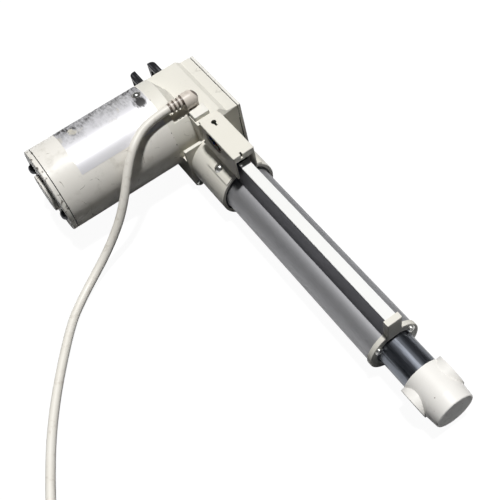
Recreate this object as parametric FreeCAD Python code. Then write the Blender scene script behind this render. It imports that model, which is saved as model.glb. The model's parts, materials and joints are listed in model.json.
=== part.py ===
import FreeCAD, Part
import math
import os

# An electric linear actuator. A brushed motor drives a worm and wheel, the wheel turns a threaded
# spindle, and the spindle's nut pushes a chromed rod out of an aluminium profile.
# Millimetres. The origin is on the rear pivot's axis, X runs along the rod to the front eye, the
# motor points along -Y, and Z is up, on the side of the profile's channel.

os.makedirs("parts", exist_ok=True)

# Travel
stroke = 150.0
shown_extension = 24.0

# Fits: a running fit is radial, and clear keeps pieces that move past each other apart
running = 0.05
clear = 0.3
thread_clear = 0.25

# Rear fork and its bore
fork_bore_r = 6.0
fork_slot = 14.0
fork_ear = 7.0
fork_half_height = 10.0
fork_tail = 10.0
fork_corner = 5.0
fork_base_r = 18.0
fork_base = 6.0
fork_flare = 3.0
fork_flare_x = 7.0
fork_screw_r = 2.5
fork_screw_head_r = 4.5
fork_screw_head = 3.0
fork_screw_spacing = 25.0
fork_screw_end = 1.5

# Rear bearing boss of the gear housing
boss_rear_x = 34.5
boss_r = 20.0
boss_wall = 5.0
front_boss = 12.0

# Gear housing block
housing_rear_x = 42.5
housing_length = 78.8
housing_near_y = -8.9
housing_far_y = 31.0
housing_base_z = -22.0
plateau_z = 44.0
plateau_far_y = 16.0
border_z = 40.0
border_near_y = 21.0
front_chamfer = 3.8
front_chamfer_drop = 6.0
front_chamfer_near_y = 11.0
front_chamfer_far_y = 17.0
housing_wall = 7.5
housing_corner = 2.4
foot_top_z = 10.0
foot_inset = 1.0
room_clear = 1.5
room_wall = 6.0
room_near_wall = 3.0
room_front_wall = 3.0
bearing_shoulder = 2.0

# Cover plate on the far side
gasket = 0.8
gasket_inset = 1.0
cover = 2.6
cover_edge = 1.0
cover_screw_r = 2.0
cover_screw_head_r = 3.6
cover_screw_inset = 5.0
cover_screw_grip = 5.5
cover_screw_end = 1.0
worm_boss = 9.5
worm_boss_wall = 3.5

# Motor
motor_x = 74.0
motor_z = 20.0
motor_r = 39.4
motor_wall = 2.4
motor_length = 108.0
seam_y = -29.0
neck_shoulder_y = -17.7
slope_foot_y = -7.0
spigot_wall = 3.5
spigot_length = 12.0
spigot_fit = 0.05
end_rim = 4.5
end_seal = 0.8
end_seal_inset = 0.5
end_edge = 1.0
end_boss_r = 17.5
end_boss = 4.0
end_bearing_wall = 2.0
tie_bolt_r = 2.5
tie_bolt_head_r = 4.4
tie_bolt_head = 3.6
tie_bolt_circle_r = 28.2
tie_bolt_tilt = 10.0
tie_bolt_grip = 6.0
tube_screw_y_from_seam = 6.5
tube_screw_angle = 9.4
tube_screw_r = 1.6
tube_screw_head_r = 3.6
tube_screw_head = 2.4
tube_screw_settle = 0.25
tube_screws_around = 2
label = 0.15
label_seat = 0.02
label_start_from_seam = 1.0
label_length = 83.0
label_left = 45.0
label_right = 47.0

# Motor inside
shaft_r = 4.0
worm_shaft_r = 3.5
armature_r = 23.5
armature_length = 52.0
armature_from_seam = 23.0
armature_slots = 12
armature_slot_width = 3.0
armature_slot_depth = 8.0
winding = 8.0
winding_r = 20.0
commutator_r = 11.0
commutator_length = 15.0
commutator_gap = 1.0
magnet_gap = 1.2
magnet_arc = 116.0
magnet_overhang = 4.0
brush_width = 8.0
brush_thickness = 7.0
brush_length = 12.0
brush_gap = 0.3
brush_spring_r = 2.5
brush_box_wall = 1.5
brush_plate = 2.0
motor_bearing_r = 11.0
motor_bearing = 7.0
worm_bearing_r = 9.5
worm_bearing = 6.0

# Worm and wheel
tooth_module = 1.5
wheel_teeth = 18
wheel_width = 12.0
worm_length = 30.0
pressure_angle = 20.0
tooth_share = 0.42
addendum = 1.4
dedendum = 1.8

# Spindle, its thread and bearings
spindle_lead = 6.0
spindle_r = 8.0
spindle_root_r = 6.0
spindle_crest = 2.2
spindle_flank = 15.0
ridge_depth = 0.1
rear_journal_r = 6.0
main_journal_r = 7.5
spindle_bearing_r = 16.0
rear_bearing = 10.0
front_bearing = 9.0
front_bearing_wall = 5.0
circlip = 1.4
circlip_r = 8.5
spindle_spare = 5.0

# Flange, collar and sleeve
flange = 3.3
flange_inset = 1.4
flange_side = 1.8
flange_drop = 1.7
flange_corner = 6.0
sleeve_wall = 1.9
collar_wall = 2.7
collar_length = 50.2
collar_edge = 0.6
collar_slot_half = 8.8
sleeve_recess = 1.0
flange_screw_r = 2.0
flange_screw_head_r = 3.6
flange_screw_head = 2.2
flange_screw_inset = 5.2
flange_screw_grip = 10.0

# Profile and strip
tube_wall = 5.2
guide_wall = 1.4
tube_dead_length = 90.3
channel_height = 16.7
channel_half = 4.9
channel_base_half = 7.0
channel_root = 2.6
channel_slot_half = 3.2
channel_floor = 3.4
channel_start = 13.0
lobe_r = 17.0
lobe_y = 4.5
strip_half = 4.66
strip = 1.2
strip_gap = 0.5
strip_start_length = 5.5
strip_start_height = 1.0
sensor_board = 1.6
sensor_board_half = 2.6
sensor_end_gap = 6.0

# Switch box
box_start = 6.8
box_length = 51.0
box_half = 10.2
box_lift = 2.8
box_height = 26.0
box_wall = 1.8
box_ledge = 3.5
box_ledge_height = 3.0
box_ledge_drop = 0.5
box_lip = 6.5
box_edge = 1.0
box_window_r = 6.2
box_window_rear = 8.0
box_window_length = 22.0
box_window_drop = 8.7
keyhole_r = 2.3
keyhole_from_rear = 6.4
keyhole_slot = 4.9
keyhole_slot_half = 1.0
notch_half = 1.0
notch_y = -2.0
notch_depth = 4.5
bracket_wall = 1.4
bracket_height = 12.0
bracket_root = 4.0
bracket_flap = 1.0
bracket_flap_start = 12.0
bracket_flap_length = 31.0
bracket_flap_to = 42.5
box_screw_angle = 32.0
box_screw_from_rear = 25.0
box_screw_r = 1.8
box_screw_head_r = 4.3
box_screw_head = 2.8
box_screw_settle = 0.35
terminal_board = 1.6
terminal_length = 24.0
terminal_half = 4.5
terminal_height = 7.0
terminal_screws = 4
terminal_screw_r = 1.2

# Front cap, guide and wiper
cap = 4.0
cap_over = 1.2
cap_block = 1.2
cap_block_half = 6.5
cap_block_over = 1.7
cap_block_root = 3.1
cap_edge = 0.8
cap_screw_depth = 3.1
cap_screw_angle = 53.6
cap_screw_r = 1.6
cap_screw_head_r = 3.2
cap_screw_head = 2.0
cap_screw_grip = 12.0
guide_length = 24.0
wiper_wall = 1.3
wiper_depth = 2.6
wiper_recess = 0.3
retracted_gap = 7.1

# Rod, nut and guide ring
rod_r = 15.0
rod_bore_r = 10.0
rod_rear_gap = 8.0
nut_length = 30.0
nut_flange_r = 14.0
nut_flange = 3.0
guide_ring = 4.0
rod_socket = 2.4

# Rod eye
eye_r = 17.5
eye_nose_r = 16.5
eye_back = 10.4
eye_taper = 14.0
eye_front = 24.5
eye_nose_edge = 1.2
eye_pad_r = 13.2
eye_pad_half = 18.7
eye_pad_edge = 0.5
eye_roll = 15.0
eye_bore_r = 6.0
eye_bush_wall = 1.5
eye_spigot = 16.0

# Plug and its socket
plug_setback = 22.0
plug_lift = 10.3
plug_r = 7.6
plug_nose_y = 6.4
plug_length = 6.8
plug_cord_rise = 2.5
plug_relief_length = 13.8
plug_relief_r = 5.1
plug_rib_depth = 0.9
plug_ribs = 3
plug_stub_r = 4.2
plug_stub_depth = 5.0
socket_wall = 1.3
socket_ring = 2.0
socket_y = 0.4
socket_depth = 7.0
plug_pocket_y = -22.6
plug_pocket_clear = 1.0
badge_setback = 4.9
badge_length = 11.0
badge_near_y = -8.0
badge_far_y = 7.0
badge = 4.5
badge_edge = 0.8

# Cord, coil, tie and far plug
cord_r = 3.9
coil_turn_r = 43.0
coil_lift = 1.0
coil_turns = 3.25
tie_wall = 0.9
tie_width = 9.0
tie_angle = 160.0
tail_length = 34.0
far_relief = 20.0
far_relief_r = 6.2
far_lip = 0.6
far_seat = 0.8
far_plug_r = 7.5
far_plug = 32.0
far_shell_r = 6.4
far_shell = 13.0
far_shell_wall = 0.8
far_shell_floor = 3.0

# Places that follow from the sizes above
housing_front_x = housing_rear_x + housing_length
flange_rear_x = housing_front_x - flange_inset
flange_front_x = flange_rear_x + flange
tube_bore_r = rod_r + guide_wall
tube_r = tube_bore_r + tube_wall
collar_r = tube_r + sleeve_wall + collar_wall
flange_half_y = collar_r + flange_side
flange_half_z = collar_r - flange_drop
channel_top_z = tube_r + channel_height
channel_base_z = tube_r - channel_root
channel_floor_z = tube_r + channel_floor
collar_front_x = flange_front_x + collar_length
tube_rear_x = flange_front_x
tube_length = stroke + tube_dead_length
tube_front_x = tube_rear_x + tube_length
cap_front_x = tube_front_x + cap
eye_rear_x = cap_front_x + retracted_gap + shown_extension
front_pivot_x = eye_rear_x + eye_back
rod_rear_x = tube_rear_x + rod_rear_gap + shown_extension
rod_front_x = eye_rear_x + rod_socket
box_rear_x = flange_front_x + box_start
box_front_x = box_rear_x + box_length
strip_rear_x = box_front_x - strip_start_length
strip_join_x = box_front_x + strip_gap
box_bottom_z = collar_r + box_lift
box_top_z = box_bottom_z + box_height
box_window_z = box_top_z - box_window_drop
bracket_top_z = box_bottom_z + bracket_height
cap_r = tube_r + cap_over
cap_block_top_z = channel_top_z + cap_block_over
cap_block_base_z = tube_r - cap_block_root
cap_screw_y = (tube_r - cap_screw_depth) * math.sin(math.radians(cap_screw_angle))
cap_screw_z = (tube_r - cap_screw_depth) * math.cos(math.radians(cap_screw_angle))
plug_x = housing_front_x - plug_setback
plug_z = plateau_z + plug_lift
plug_cord_z = plug_z + plug_cord_rise
plug_ball_y = plug_nose_y - plug_r
plug_body_rear_y = plug_ball_y - plug_length
plug_rear_y = plug_body_rear_y - plug_relief_length
badge_front_x = housing_front_x - badge_setback
cover_near_y = housing_far_y + gasket
cover_far_y = cover_near_y + cover
motor_end_y = seam_y - motor_length
rim_y = motor_end_y - end_rim
motor_bore_r = motor_r - motor_wall
wheel_r = tooth_module * wheel_teeth / 2
worm_r = motor_z - wheel_r
tooth_pitch = math.pi * tooth_module
floor_z = -collar_r
spindle_front_x = rod_rear_x - shown_extension + stroke + nut_length + spindle_spare
thread_rear_x = flange_rear_x
front_bearing_x = flange_rear_x - front_bearing_wall - front_bearing
room_front_x = front_bearing_x - room_front_wall
rear_bearing_x = boss_rear_x + boss_wall
magnet_r = armature_r + magnet_gap
armature_front_y = seam_y - armature_from_seam
armature_rear_y = armature_front_y - armature_length
commutator_front_y = armature_rear_y - winding - commutator_gap
commutator_rear_y = commutator_front_y - commutator_length

Vec = FreeCAD.Vector
ALONG_X = Vec(1, 0, 0)
ALONG_Y = Vec(0, 1, 0)
ALONG_Z = Vec(0, 0, 1)


# Small shapes in the part's own directions
def block(x0, x1, y0, y1, z0, z1):
    return Part.makeBox(x1 - x0, y1 - y0, z1 - z0, Vec(x0, y0, z0))


def bar_x(r, x0, x1, y=0.0, z=0.0):
    return Part.makeCylinder(r, x1 - x0, Vec(x0, y, z), ALONG_X)


def bar_y(r, y0, y1, x=0.0, z=0.0):
    return Part.makeCylinder(r, y1 - y0, Vec(x, y0, z), ALONG_Y)


def bar_z(r, z0, z1, x=0.0, y=0.0):
    return Part.makeCylinder(r, z1 - z0, Vec(x, y, z0), ALONG_Z)


def ring_x(outer, inner, x0, x1):
    return bar_x(outer, x0, x1).cut(bar_x(inner, x0 - 1, x1 + 1))


def motor_bar(r, y0, y1):
    return bar_y(r, y0, y1, motor_x, motor_z)


def motor_ring(outer, inner, y0, y1):
    return motor_bar(outer, y0, y1).cut(motor_bar(inner, y0 - 1, y1 + 1))


def union(first, *others):
    return first.multiFuse(list(others)).removeSplitter()


def cut(shape, *tools):
    for tool in tools:
        shape = shape.cut(tool)
    return shape


def prism(points, along):
    return Part.Face(Part.makePolygon(points + points[:1])).extrude(along)


def prism_x(outline_yz, x0, x1):
    return prism([Vec(x0, y, z) for y, z in outline_yz], Vec(x1 - x0, 0, 0))


def prism_y(outline_xz, y0, y1):
    return prism([Vec(x, y0, z) for x, z in outline_xz], Vec(0, y1 - y0, 0))


def prism_z(outline_xy, z0, z1):
    return prism([Vec(x, y, z0) for x, y in outline_xy], Vec(0, 0, z1 - z0))


def turned_x(outline_xr):
    face = Part.Face(Part.makePolygon([Vec(x, r, 0) for x, r in outline_xr + outline_xr[:1]]))
    return face.revolve(Vec(0, 0, 0), ALONG_X, 360)


def turned_y(outline_yr, x, z):
    face = Part.Face(Part.makePolygon([Vec(x + r, y, z) for y, r in outline_yr + outline_yr[:1]]))
    return face.revolve(Vec(x, 0, z), ALONG_Y, 360)


def placed(shape, at, towards):
    moved = shape.copy()
    moved.Placement = FreeCAD.Placement(at, FreeCAD.Rotation(ALONG_Z, towards))
    return moved


def mirrored_y(shape):
    return shape.mirror(Vec(0, 0, 0), ALONG_Y)


def softened(shape, radius, picked):
    edges = [edge for edge in shape.Edges if picked(edge.BoundBox)]
    return shape.makeFillet(radius, edges)


# Screws stand on z = 0 with the head above and the shank below
def dome_screw(head_r, head, shank_r, shank):
    ball_r = (head_r ** 2 + head ** 2) / (2 * head)
    dome = Part.makeSphere(ball_r, Vec(0, 0, head - ball_r)).common(bar_z(head_r, 0, head))
    slot = head_r * 0.55
    cross = union(block(-slot, slot, -0.5, 0.5, head * 0.5, head + 1),
                  block(-0.5, 0.5, -slot, slot, head * 0.5, head + 1))
    return union(dome.cut(cross), bar_z(shank_r, -shank, 0))


def pan_screw(head_r, head, shank_r, shank):
    pan = bar_z(head_r, 0, head)
    pan = softened(pan, head * 0.4, lambda box: box.ZLength < 0.01 and box.ZMin > head / 2)
    slot = head_r * 0.6
    cross = union(block(-slot, slot, -0.45, 0.45, head * 0.4, head + 1),
                  block(-0.45, 0.45, -slot, slot, head * 0.4, head + 1))
    return union(pan.cut(cross), bar_z(shank_r, -shank, 0))


def flat_head(head_r, shank_r, shank):
    sink = head_r - shank_r
    return union(Part.makeCone(shank_r, head_r, sink, Vec(0, 0, -sink), ALONG_Z), bar_z(shank_r, -shank, -sink))


def flat_screw(head_r, shank_r, shank):
    slot = head_r * 0.6
    cross = union(block(-slot, slot, -0.45, 0.45, -1, 1), block(-0.45, 0.45, -slot, slot, -1, 1))
    return flat_head(head_r, shank_r, shank).cut(cross)


def hex_bolt(head_r, head, shank_r, shank):
    corners = [Vec(head_r * math.cos(math.radians(a)), head_r * math.sin(math.radians(a)), 0)
               for a in range(0, 360, 60)]
    return union(prism(corners, Vec(0, 0, head)), bar_z(shank_r, -shank, 0))


# Dome screws on a round seat: the head is hollowed underneath to sit on the curve
def seated_screws(screw, head_r, shank_r, settle, seat, places):
    made = []
    for at, out in places:
        under = placed(bar_z(head_r + 1, -1, 1).cut(bar_z(shank_r, -2, 2)), at, out)
        made.append(placed(screw, at - out * settle, out).cut(seat.common(under)))
    return Part.makeCompound(made)


# A threaded bar along Z: a core of the root radius with one trapezoidal ridge wound round it, which stops short
# of both ends
def threaded_bar(root_r, crest_r, crest_half, flank, lead, length):
    root_half = crest_half + (crest_r - root_r) * math.tan(math.radians(flank))
    deep = ridge_depth * (crest_r - root_r)
    deep_half = root_half + deep * math.tan(math.radians(flank))
    corners = [Vec(root_r - deep, 0, -deep_half), Vec(crest_r, 0, -crest_half), Vec(crest_r, 0, crest_half),
               Vec(root_r - deep, 0, deep_half)]
    helix = Part.makeHelix(lead, length - 2 * deep_half, root_r)
    ridge = Part.Wire(helix).makePipeShell([Part.makePolygon(corners + corners[:1])], True, True)
    ridge.translate(Vec(0, 0, deep_half))
    ridge.rotate(Vec(0, 0, 0), ALONG_Z, 360 * deep_half / lead)
    return bar_z(root_r, 0, length).fuse(ridge)


def spindle_thread(x0, x1):
    bar = threaded_bar(spindle_root_r, spindle_r, spindle_crest / 2, spindle_flank, spindle_lead, x1 - x0)
    bar.rotate(Vec(0, 0, 0), ALONG_Y, 90)
    bar.translate(Vec(x0, 0, 0))
    return bar


# Rear fork
def rear_fork():
    half = fork_slot / 2 + fork_ear
    base_x = boss_rear_x - fork_base
    wide = half + fork_flare
    root_x = base_x + fork_base / 2
    ears = prism_z([(-fork_tail, -half), (fork_flare_x, -half), (root_x, -wide), (root_x, wide), (fork_flare_x, half),
                    (-fork_tail, half)], -fork_half_height, fork_half_height)
    ears = softened(ears, fork_corner, lambda box: box.XMax < 0 and box.ZLength > 1)
    over = fork_half_height + 1
    ears = ears.cut(block(-fork_tail - 1, base_x, -fork_slot / 2, fork_slot / 2, -over, over))
    base = bar_x(fork_base_r, base_x, boss_rear_x)
    fork = union(ears, base).cut(bar_y(fork_bore_r, -half - 1, half + 1))
    for z in (-fork_screw_spacing / 2, fork_screw_spacing / 2):
        fork = fork.cut(bar_x(fork_screw_r, base_x - 1, boss_rear_x + 1, 0, z))
    return fork


def fork_screws():
    screws = []
    for z in (-fork_screw_spacing / 2, fork_screw_spacing / 2):
        screw = hex_bolt(fork_screw_head_r, fork_screw_head, fork_screw_r, fork_base + boss_wall - fork_screw_end)
        screws.append(placed(screw, Vec(boss_rear_x - fork_base, 0, z), Vec(-1, 0, 0)))
    return Part.makeCompound(screws)


# Gear housing
def tie_bolt_places():
    tilt = math.radians(tie_bolt_tilt)
    reach = Vec(math.cos(tilt), 0, -math.sin(tilt)) * tie_bolt_circle_r
    centre = Vec(motor_x, 0, motor_z)
    return [centre + reach, centre - reach]


def tube_screw_directions():
    angles = [math.radians(360 * i / tube_screws_around - tube_screw_angle) for i in range(tube_screws_around)]
    return [Vec(math.sin(a), 0, math.cos(a)) for a in angles]


def cover_screw_places():
    rear = housing_rear_x + cover_screw_inset
    front = housing_front_x - cover_screw_inset
    low = housing_base_z + cover_screw_inset
    high = border_z - cover_screw_inset
    return [(x, z) for x in (rear, front) for z in (low, high)]


def housing_neck():
    neck = motor_bar(motor_r, seam_y, slope_foot_y)
    slope = Part.makeCone(motor_r, plateau_z - motor_z, slope_foot_y - neck_shoulder_y,
                          Vec(motor_x, neck_shoulder_y, motor_z), ALONG_Y)
    side = motor_r + 1
    above = block(motor_x - side, motor_x + side, neck_shoulder_y, slope_foot_y + 1, plateau_z, motor_z + side)
    pocket = block(plug_x - plug_relief_r - plug_pocket_clear, motor_x + side, plug_pocket_y, slope_foot_y + 1,
                   plateau_z, motor_z + side)
    spigot_r = motor_bore_r - spigot_fit
    spigot = motor_ring(spigot_r, spigot_r - spigot_wall, seam_y - spigot_length, seam_y)
    return union(cut(neck, above.cut(slope), pocket), spigot)


def housing_block():
    outline = [(housing_near_y, housing_base_z), (housing_far_y, housing_base_z), (housing_far_y, border_z),
               (border_near_y, border_z), (plateau_far_y, plateau_z), (housing_near_y, plateau_z)]
    body = prism_x(outline, housing_rear_x, housing_front_x)
    body = softened(body, housing_corner, lambda box: box.XMax < housing_rear_x + 0.1 and box.ZLength > 50)
    top_x = housing_front_x - front_chamfer
    foot_z = plateau_z - front_chamfer_drop
    over = housing_front_x + 1
    chamfer = prism_y([(top_x, plateau_z), (housing_front_x, foot_z), (over, foot_z), (over, plateau_z + 1),
                       (top_x, plateau_z + 1)], front_chamfer_near_y, front_chamfer_far_y)
    # The chamfer runs out to nothing at the far corner, which leaves a three-sided facet
    near_top = Vec(top_x, front_chamfer_far_y, plateau_z)
    near_foot = Vec(housing_front_x, front_chamfer_far_y, foot_z)
    near_back = Vec(housing_front_x, front_chamfer_far_y, plateau_z)
    tip = Vec(housing_front_x, housing_far_y, border_z)
    triangle = Part.makePolygon([near_top, near_foot, near_back, near_top])
    facet = Part.makeLoft([Part.Vertex(tip), triangle], True, True)
    recess = block(flange_rear_x, over, housing_near_y - 1, housing_far_y + 1, housing_base_z - 1, flange_half_z)
    return cut(body, chamfer, facet, recess)


# The foot fills the corner between the neck and the flange, with the flange's lower outline
def housing_foot():
    near_y = seam_y + foot_inset
    foot = block(motor_x, flange_rear_x, near_y, housing_near_y + room_near_wall, -flange_half_z, foot_top_z)
    return softened(foot, flange_corner, lambda box: box.XLength > 1 and box.YMax < near_y + 0.01
                    and box.ZMax < 0.01 - flange_half_z)


def gear_housing():
    shell = union(housing_neck(), housing_block(), housing_foot(),
                  bar_x(boss_r, boss_rear_x, housing_rear_x + 2 * housing_wall),
                  bar_x(boss_r, front_bearing_x - front_boss, flange_rear_x))
    wheel_room_r = wheel_r + addendum + room_clear
    wheel_room = wheel_width / 2 + room_clear
    worm_room_r = worm_r + addendum + room_clear
    shoulder_y = seam_y + motor_bearing + bearing_shoulder
    rooms = [block(housing_rear_x + housing_wall, room_front_x, housing_near_y + room_near_wall, housing_far_y + 1,
                   housing_base_z + room_wall, border_z - room_wall),
             bar_x(wheel_room_r, motor_x - wheel_room, motor_x + wheel_room),
             motor_bar(worm_room_r, shoulder_y, 0),
             motor_bar(motor_bearing_r, seam_y - 1, seam_y + motor_bearing),
             motor_bar(shaft_r + room_clear, seam_y, shoulder_y + 1),
             bar_x(spindle_bearing_r, rear_bearing_x, housing_rear_x + housing_wall + 1),
             bar_x(circlip_r + room_clear, rear_bearing_x - 2 * circlip, rear_bearing_x + 1),
             bar_x(spindle_bearing_r, room_front_x - 1, front_bearing_x + front_bearing),
             bar_x(spindle_r + 2 * room_clear, front_bearing_x, flange_rear_x + 1),
             bar_x(main_journal_r + room_clear, rear_bearing_x, front_bearing_x),
             bar_z(plug_stub_r + socket_wall, plateau_z - socket_depth, plateau_z + 1, plug_x, socket_y)]
    holes = [bar_y(tie_bolt_r, seam_y - 1, seam_y + tie_bolt_grip, at.x, at.z) for at in tie_bolt_places()]
    holes += [bar_y(cover_screw_r, housing_far_y - cover_screw_grip, housing_far_y + 1, x, z)
              for x, z in cover_screw_places()]
    holes += [bar_x(fork_screw_r, boss_rear_x - 1, boss_rear_x + boss_wall - fork_screw_end, 0, z)
              for z in (-fork_screw_spacing / 2, fork_screw_spacing / 2)]
    holes += [placed(bar_z(tube_screw_r, -motor_wall - spigot_wall, 0), at, out) for at, out in tube_screw_places()]
    holes += [bar_x(flange_screw_r, flange_rear_x - flange_screw_grip, flange_rear_x + 1, y, z)
              for y, z in flange_screw_places()]
    return cut(shell, *(rooms + holes))


def housing_cover():
    plate = block(housing_rear_x, housing_front_x, cover_near_y, cover_far_y, housing_base_z, border_z)
    plate = softened(plate, cover_edge, lambda box: box.YMin > cover_far_y - 0.01)
    boss = motor_ring(worm_bearing_r + worm_boss_wall, worm_bearing_r, cover_near_y - worm_boss, cover_near_y)
    hole = flat_head(cover_screw_head_r, cover_screw_r, cover + 1)
    holes = [placed(hole, Vec(x, cover_far_y, z), ALONG_Y) for x, z in cover_screw_places()]
    return cut(union(plate, boss), *holes)


def cover_gasket():
    inset = gasket_inset
    sheet = block(housing_rear_x + inset, housing_front_x - inset, housing_far_y, cover_near_y,
                  housing_base_z + inset, border_z - inset)
    opening = block(housing_rear_x + housing_wall, room_front_x, housing_far_y - 1, cover_near_y + 1,
                    housing_base_z + room_wall, border_z - room_wall)
    holes = [bar_y(cover_screw_r, housing_far_y - 1, cover_near_y + 1, x, z) for x, z in cover_screw_places()]
    return cut(sheet, opening, *holes)


def cover_screws():
    shank = cover + gasket + cover_screw_grip - cover_screw_end
    screw = flat_screw(cover_screw_head_r, cover_screw_r, shank)
    return Part.makeCompound([placed(screw, Vec(x, cover_far_y, z), ALONG_Y) for x, z in cover_screw_places()])


# Motor case
def motor_tube():
    tube = motor_ring(motor_r, motor_bore_r, motor_end_y + end_seal / 2, seam_y)
    holes = [placed(bar_z(tube_screw_r, -motor_wall * 2, 1), at, out) for at, out in tube_screw_places()]
    return cut(tube, *holes)


def tube_screw_grip():
    return motor_wall + spigot_wall - 1.0


def tube_screw_places():
    y = seam_y - tube_screw_y_from_seam
    return [(Vec(motor_x, y, motor_z) + out * motor_r, out) for out in tube_screw_directions()]


def tube_screws():
    screw = dome_screw(tube_screw_head_r, tube_screw_head, tube_screw_r, tube_screw_grip())
    seat = motor_bar(motor_r, motor_end_y, seam_y)
    return seated_screws(screw, tube_screw_head_r, tube_screw_r, tube_screw_settle, seat, tube_screw_places())


def motor_end_cap():
    spigot_r = motor_bore_r - spigot_fit
    rear = motor_end_y - end_seal / 2
    rim = motor_bar(motor_r, rim_y, rear)
    rim = softened(rim, end_edge, lambda box: box.YMax < rim_y + 0.01)
    boss = motor_bar(end_boss_r, rim_y - end_boss, rim_y)
    boss = softened(boss, end_edge, lambda box: box.YMax < rim_y - end_boss + 0.01)
    spigot = motor_ring(spigot_r, spigot_r - spigot_wall, rear, motor_end_y + spigot_length / 2)
    hub = motor_bar(motor_bearing_r + 3, rear, motor_end_y + motor_bearing - 1)
    cap_shape = union(rim, boss, spigot, hub)
    bearing_y = end_bearing_y()
    pocket = motor_bar(motor_bearing_r, bearing_y, motor_end_y + spigot_length)
    relief = motor_bar(shaft_r + 1.5, bearing_y - end_bearing_wall, bearing_y + 1)
    bolts = [bar_y(tie_bolt_r, rim_y - 1, motor_end_y + spigot_length, at.x, at.z) for at in tie_bolt_places()]
    return cut(cap_shape, pocket, relief, *bolts)


def end_bearing_y():
    return motor_end_y - 1.5


def end_cap_seal():
    low = motor_end_y - end_seal / 2
    return motor_ring(motor_r - end_seal_inset, motor_bore_r - spigot_fit, low, low + end_seal)


def tie_bolts():
    shank = seam_y + tie_bolt_grip - 1 - rim_y
    bolt = hex_bolt(tie_bolt_head_r, tie_bolt_head, tie_bolt_r, shank)
    return Part.makeCompound([placed(bolt, Vec(at.x, rim_y, at.z), Vec(0, -1, 0)) for at in tie_bolt_places()])


def motor_sector(outer, inner, y0, y1, middle, span):
    start = Vec(motor_x, y0, motor_z)
    first = math.radians(middle - span / 2)
    face = Part.Face(Part.makePolygon([start + Vec(math.sin(first) * r, y - y0, math.cos(first) * r)
                                       for r, y in ((inner, y0), (outer, y0), (outer, y1), (inner, y1),
                                                    (inner, y0))]))
    return face.revolve(start, ALONG_Y, span)


def motor_label():
    far = seam_y - label_start_from_seam
    sheet = motor_sector(motor_r + label, motor_r + label_seat, far - label_length, far,
                         (label_right - label_left) / 2, label_right + label_left)
    heads = [placed(bar_z(tube_screw_head_r + 0.6, -2, 2), at, out) for at, out in tube_screw_places()]
    return cut(sheet, *heads)


# Motor inside
def magnets():
    low = armature_rear_y - magnet_overhang
    high = armature_front_y + magnet_overhang
    return Part.makeCompound([motor_sector(motor_bore_r, magnet_r, low, high, middle, magnet_arc)
                              for middle in (0, 180)])


def armature_core():
    core = motor_ring(armature_r, shaft_r, armature_rear_y, armature_front_y)
    slots = []
    for i in range(armature_slots):
        slot = block(motor_x - armature_slot_width / 2, motor_x + armature_slot_width / 2, armature_rear_y - 1,
                     armature_front_y + 1, motor_z + armature_r - armature_slot_depth, motor_z + armature_r + 1)
        slot.rotate(Vec(motor_x, 0, motor_z), ALONG_Y, 360 * i / armature_slots)
        slots.append(slot)
    return cut(core, *slots)


def armature_windings():
    ends = []
    for low in (armature_rear_y - winding, armature_front_y):
        turn = motor_ring(winding_r, shaft_r, low, low + winding)
        outer_y = low if low < armature_rear_y else low + winding
        ends.append(softened(turn, winding * 0.4, lambda box: abs(box.YMin - outer_y) < 0.01
                             and box.YLength < 0.01 and box.XLength > winding_r))
    return Part.makeCompound(ends)


def commutator():
    return motor_ring(commutator_r, shaft_r, commutator_rear_y, commutator_front_y + commutator_gap)


def brush_middle_y():
    return (commutator_rear_y + commutator_front_y) / 2


def brush_box(side, half_x, half_y, low, high):
    y = brush_middle_y()
    shape = block(motor_x - half_x, motor_x + half_x, y - half_y, y + half_y, motor_z + low, motor_z + high)
    shape.rotate(Vec(motor_x, 0, motor_z), ALONG_Y, 180 * side)
    return shape


def brush_inner_r():
    return commutator_r + brush_gap


def brushes():
    low = brush_inner_r()
    return Part.makeCompound([brush_box(side, brush_width / 2, brush_thickness / 2, low, low + brush_length)
                              for side in (0, 1)])


def brush_springs():
    low = brush_inner_r() + brush_length
    high = motor_bore_r - brush_box_wall - spigot_wall - 1
    springs = []
    for side in (0, 1):
        spring = bar_z(brush_spring_r, motor_z + low, motor_z + high, motor_x, brush_middle_y())
        spring.rotate(Vec(motor_x, 0, motor_z), ALONG_Y, 180 * side)
        springs.append(spring)
    return Part.makeCompound(springs)


def brush_holder():
    plate_y = brush_middle_y() - brush_thickness / 2 - brush_box_wall
    seat_y = motor_end_y + spigot_length / 2
    plate_r = motor_bore_r - spigot_fit
    plate = motor_ring(plate_r, commutator_r + 1.5, seat_y, plate_y + brush_plate)
    low = brush_inner_r() + 2
    high = motor_bore_r - spigot_wall - 1
    shape = plate
    for side in (0, 1):
        outer = brush_box(side, brush_width / 2 + brush_box_wall, brush_thickness / 2 + brush_box_wall, low, high)
        shape = union(shape, outer)
    for side in (0, 1):
        inner = brush_box(side, brush_width / 2, brush_thickness / 2, commutator_r, high - brush_box_wall)
        shape = shape.cut(inner)
    bolts = [bar_y(tie_bolt_r + clear, seat_y - 1, 0, at.x, at.z) for at in tie_bolt_places()]
    return cut(shape, *bolts)


def motor_shaft():
    back = end_bearing_y() - end_bearing_wall + 1
    front = motor_bar(worm_shaft_r, -worm_length / 2 - 1, cover_near_y - 1)
    return union(motor_bar(shaft_r, back, -worm_length / 2 - 1), front)


def motor_rear_bearing():
    y = end_bearing_y()
    return motor_ring(motor_bearing_r, shaft_r + running, y, y + motor_bearing)


def motor_front_bearing():
    return motor_ring(motor_bearing_r, shaft_r + running, seam_y, seam_y + motor_bearing)


def worm_end_bearing():
    y = cover_near_y - 1.5 - worm_bearing
    return motor_ring(worm_bearing_r, worm_shaft_r + running, y, y + worm_bearing)


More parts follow.
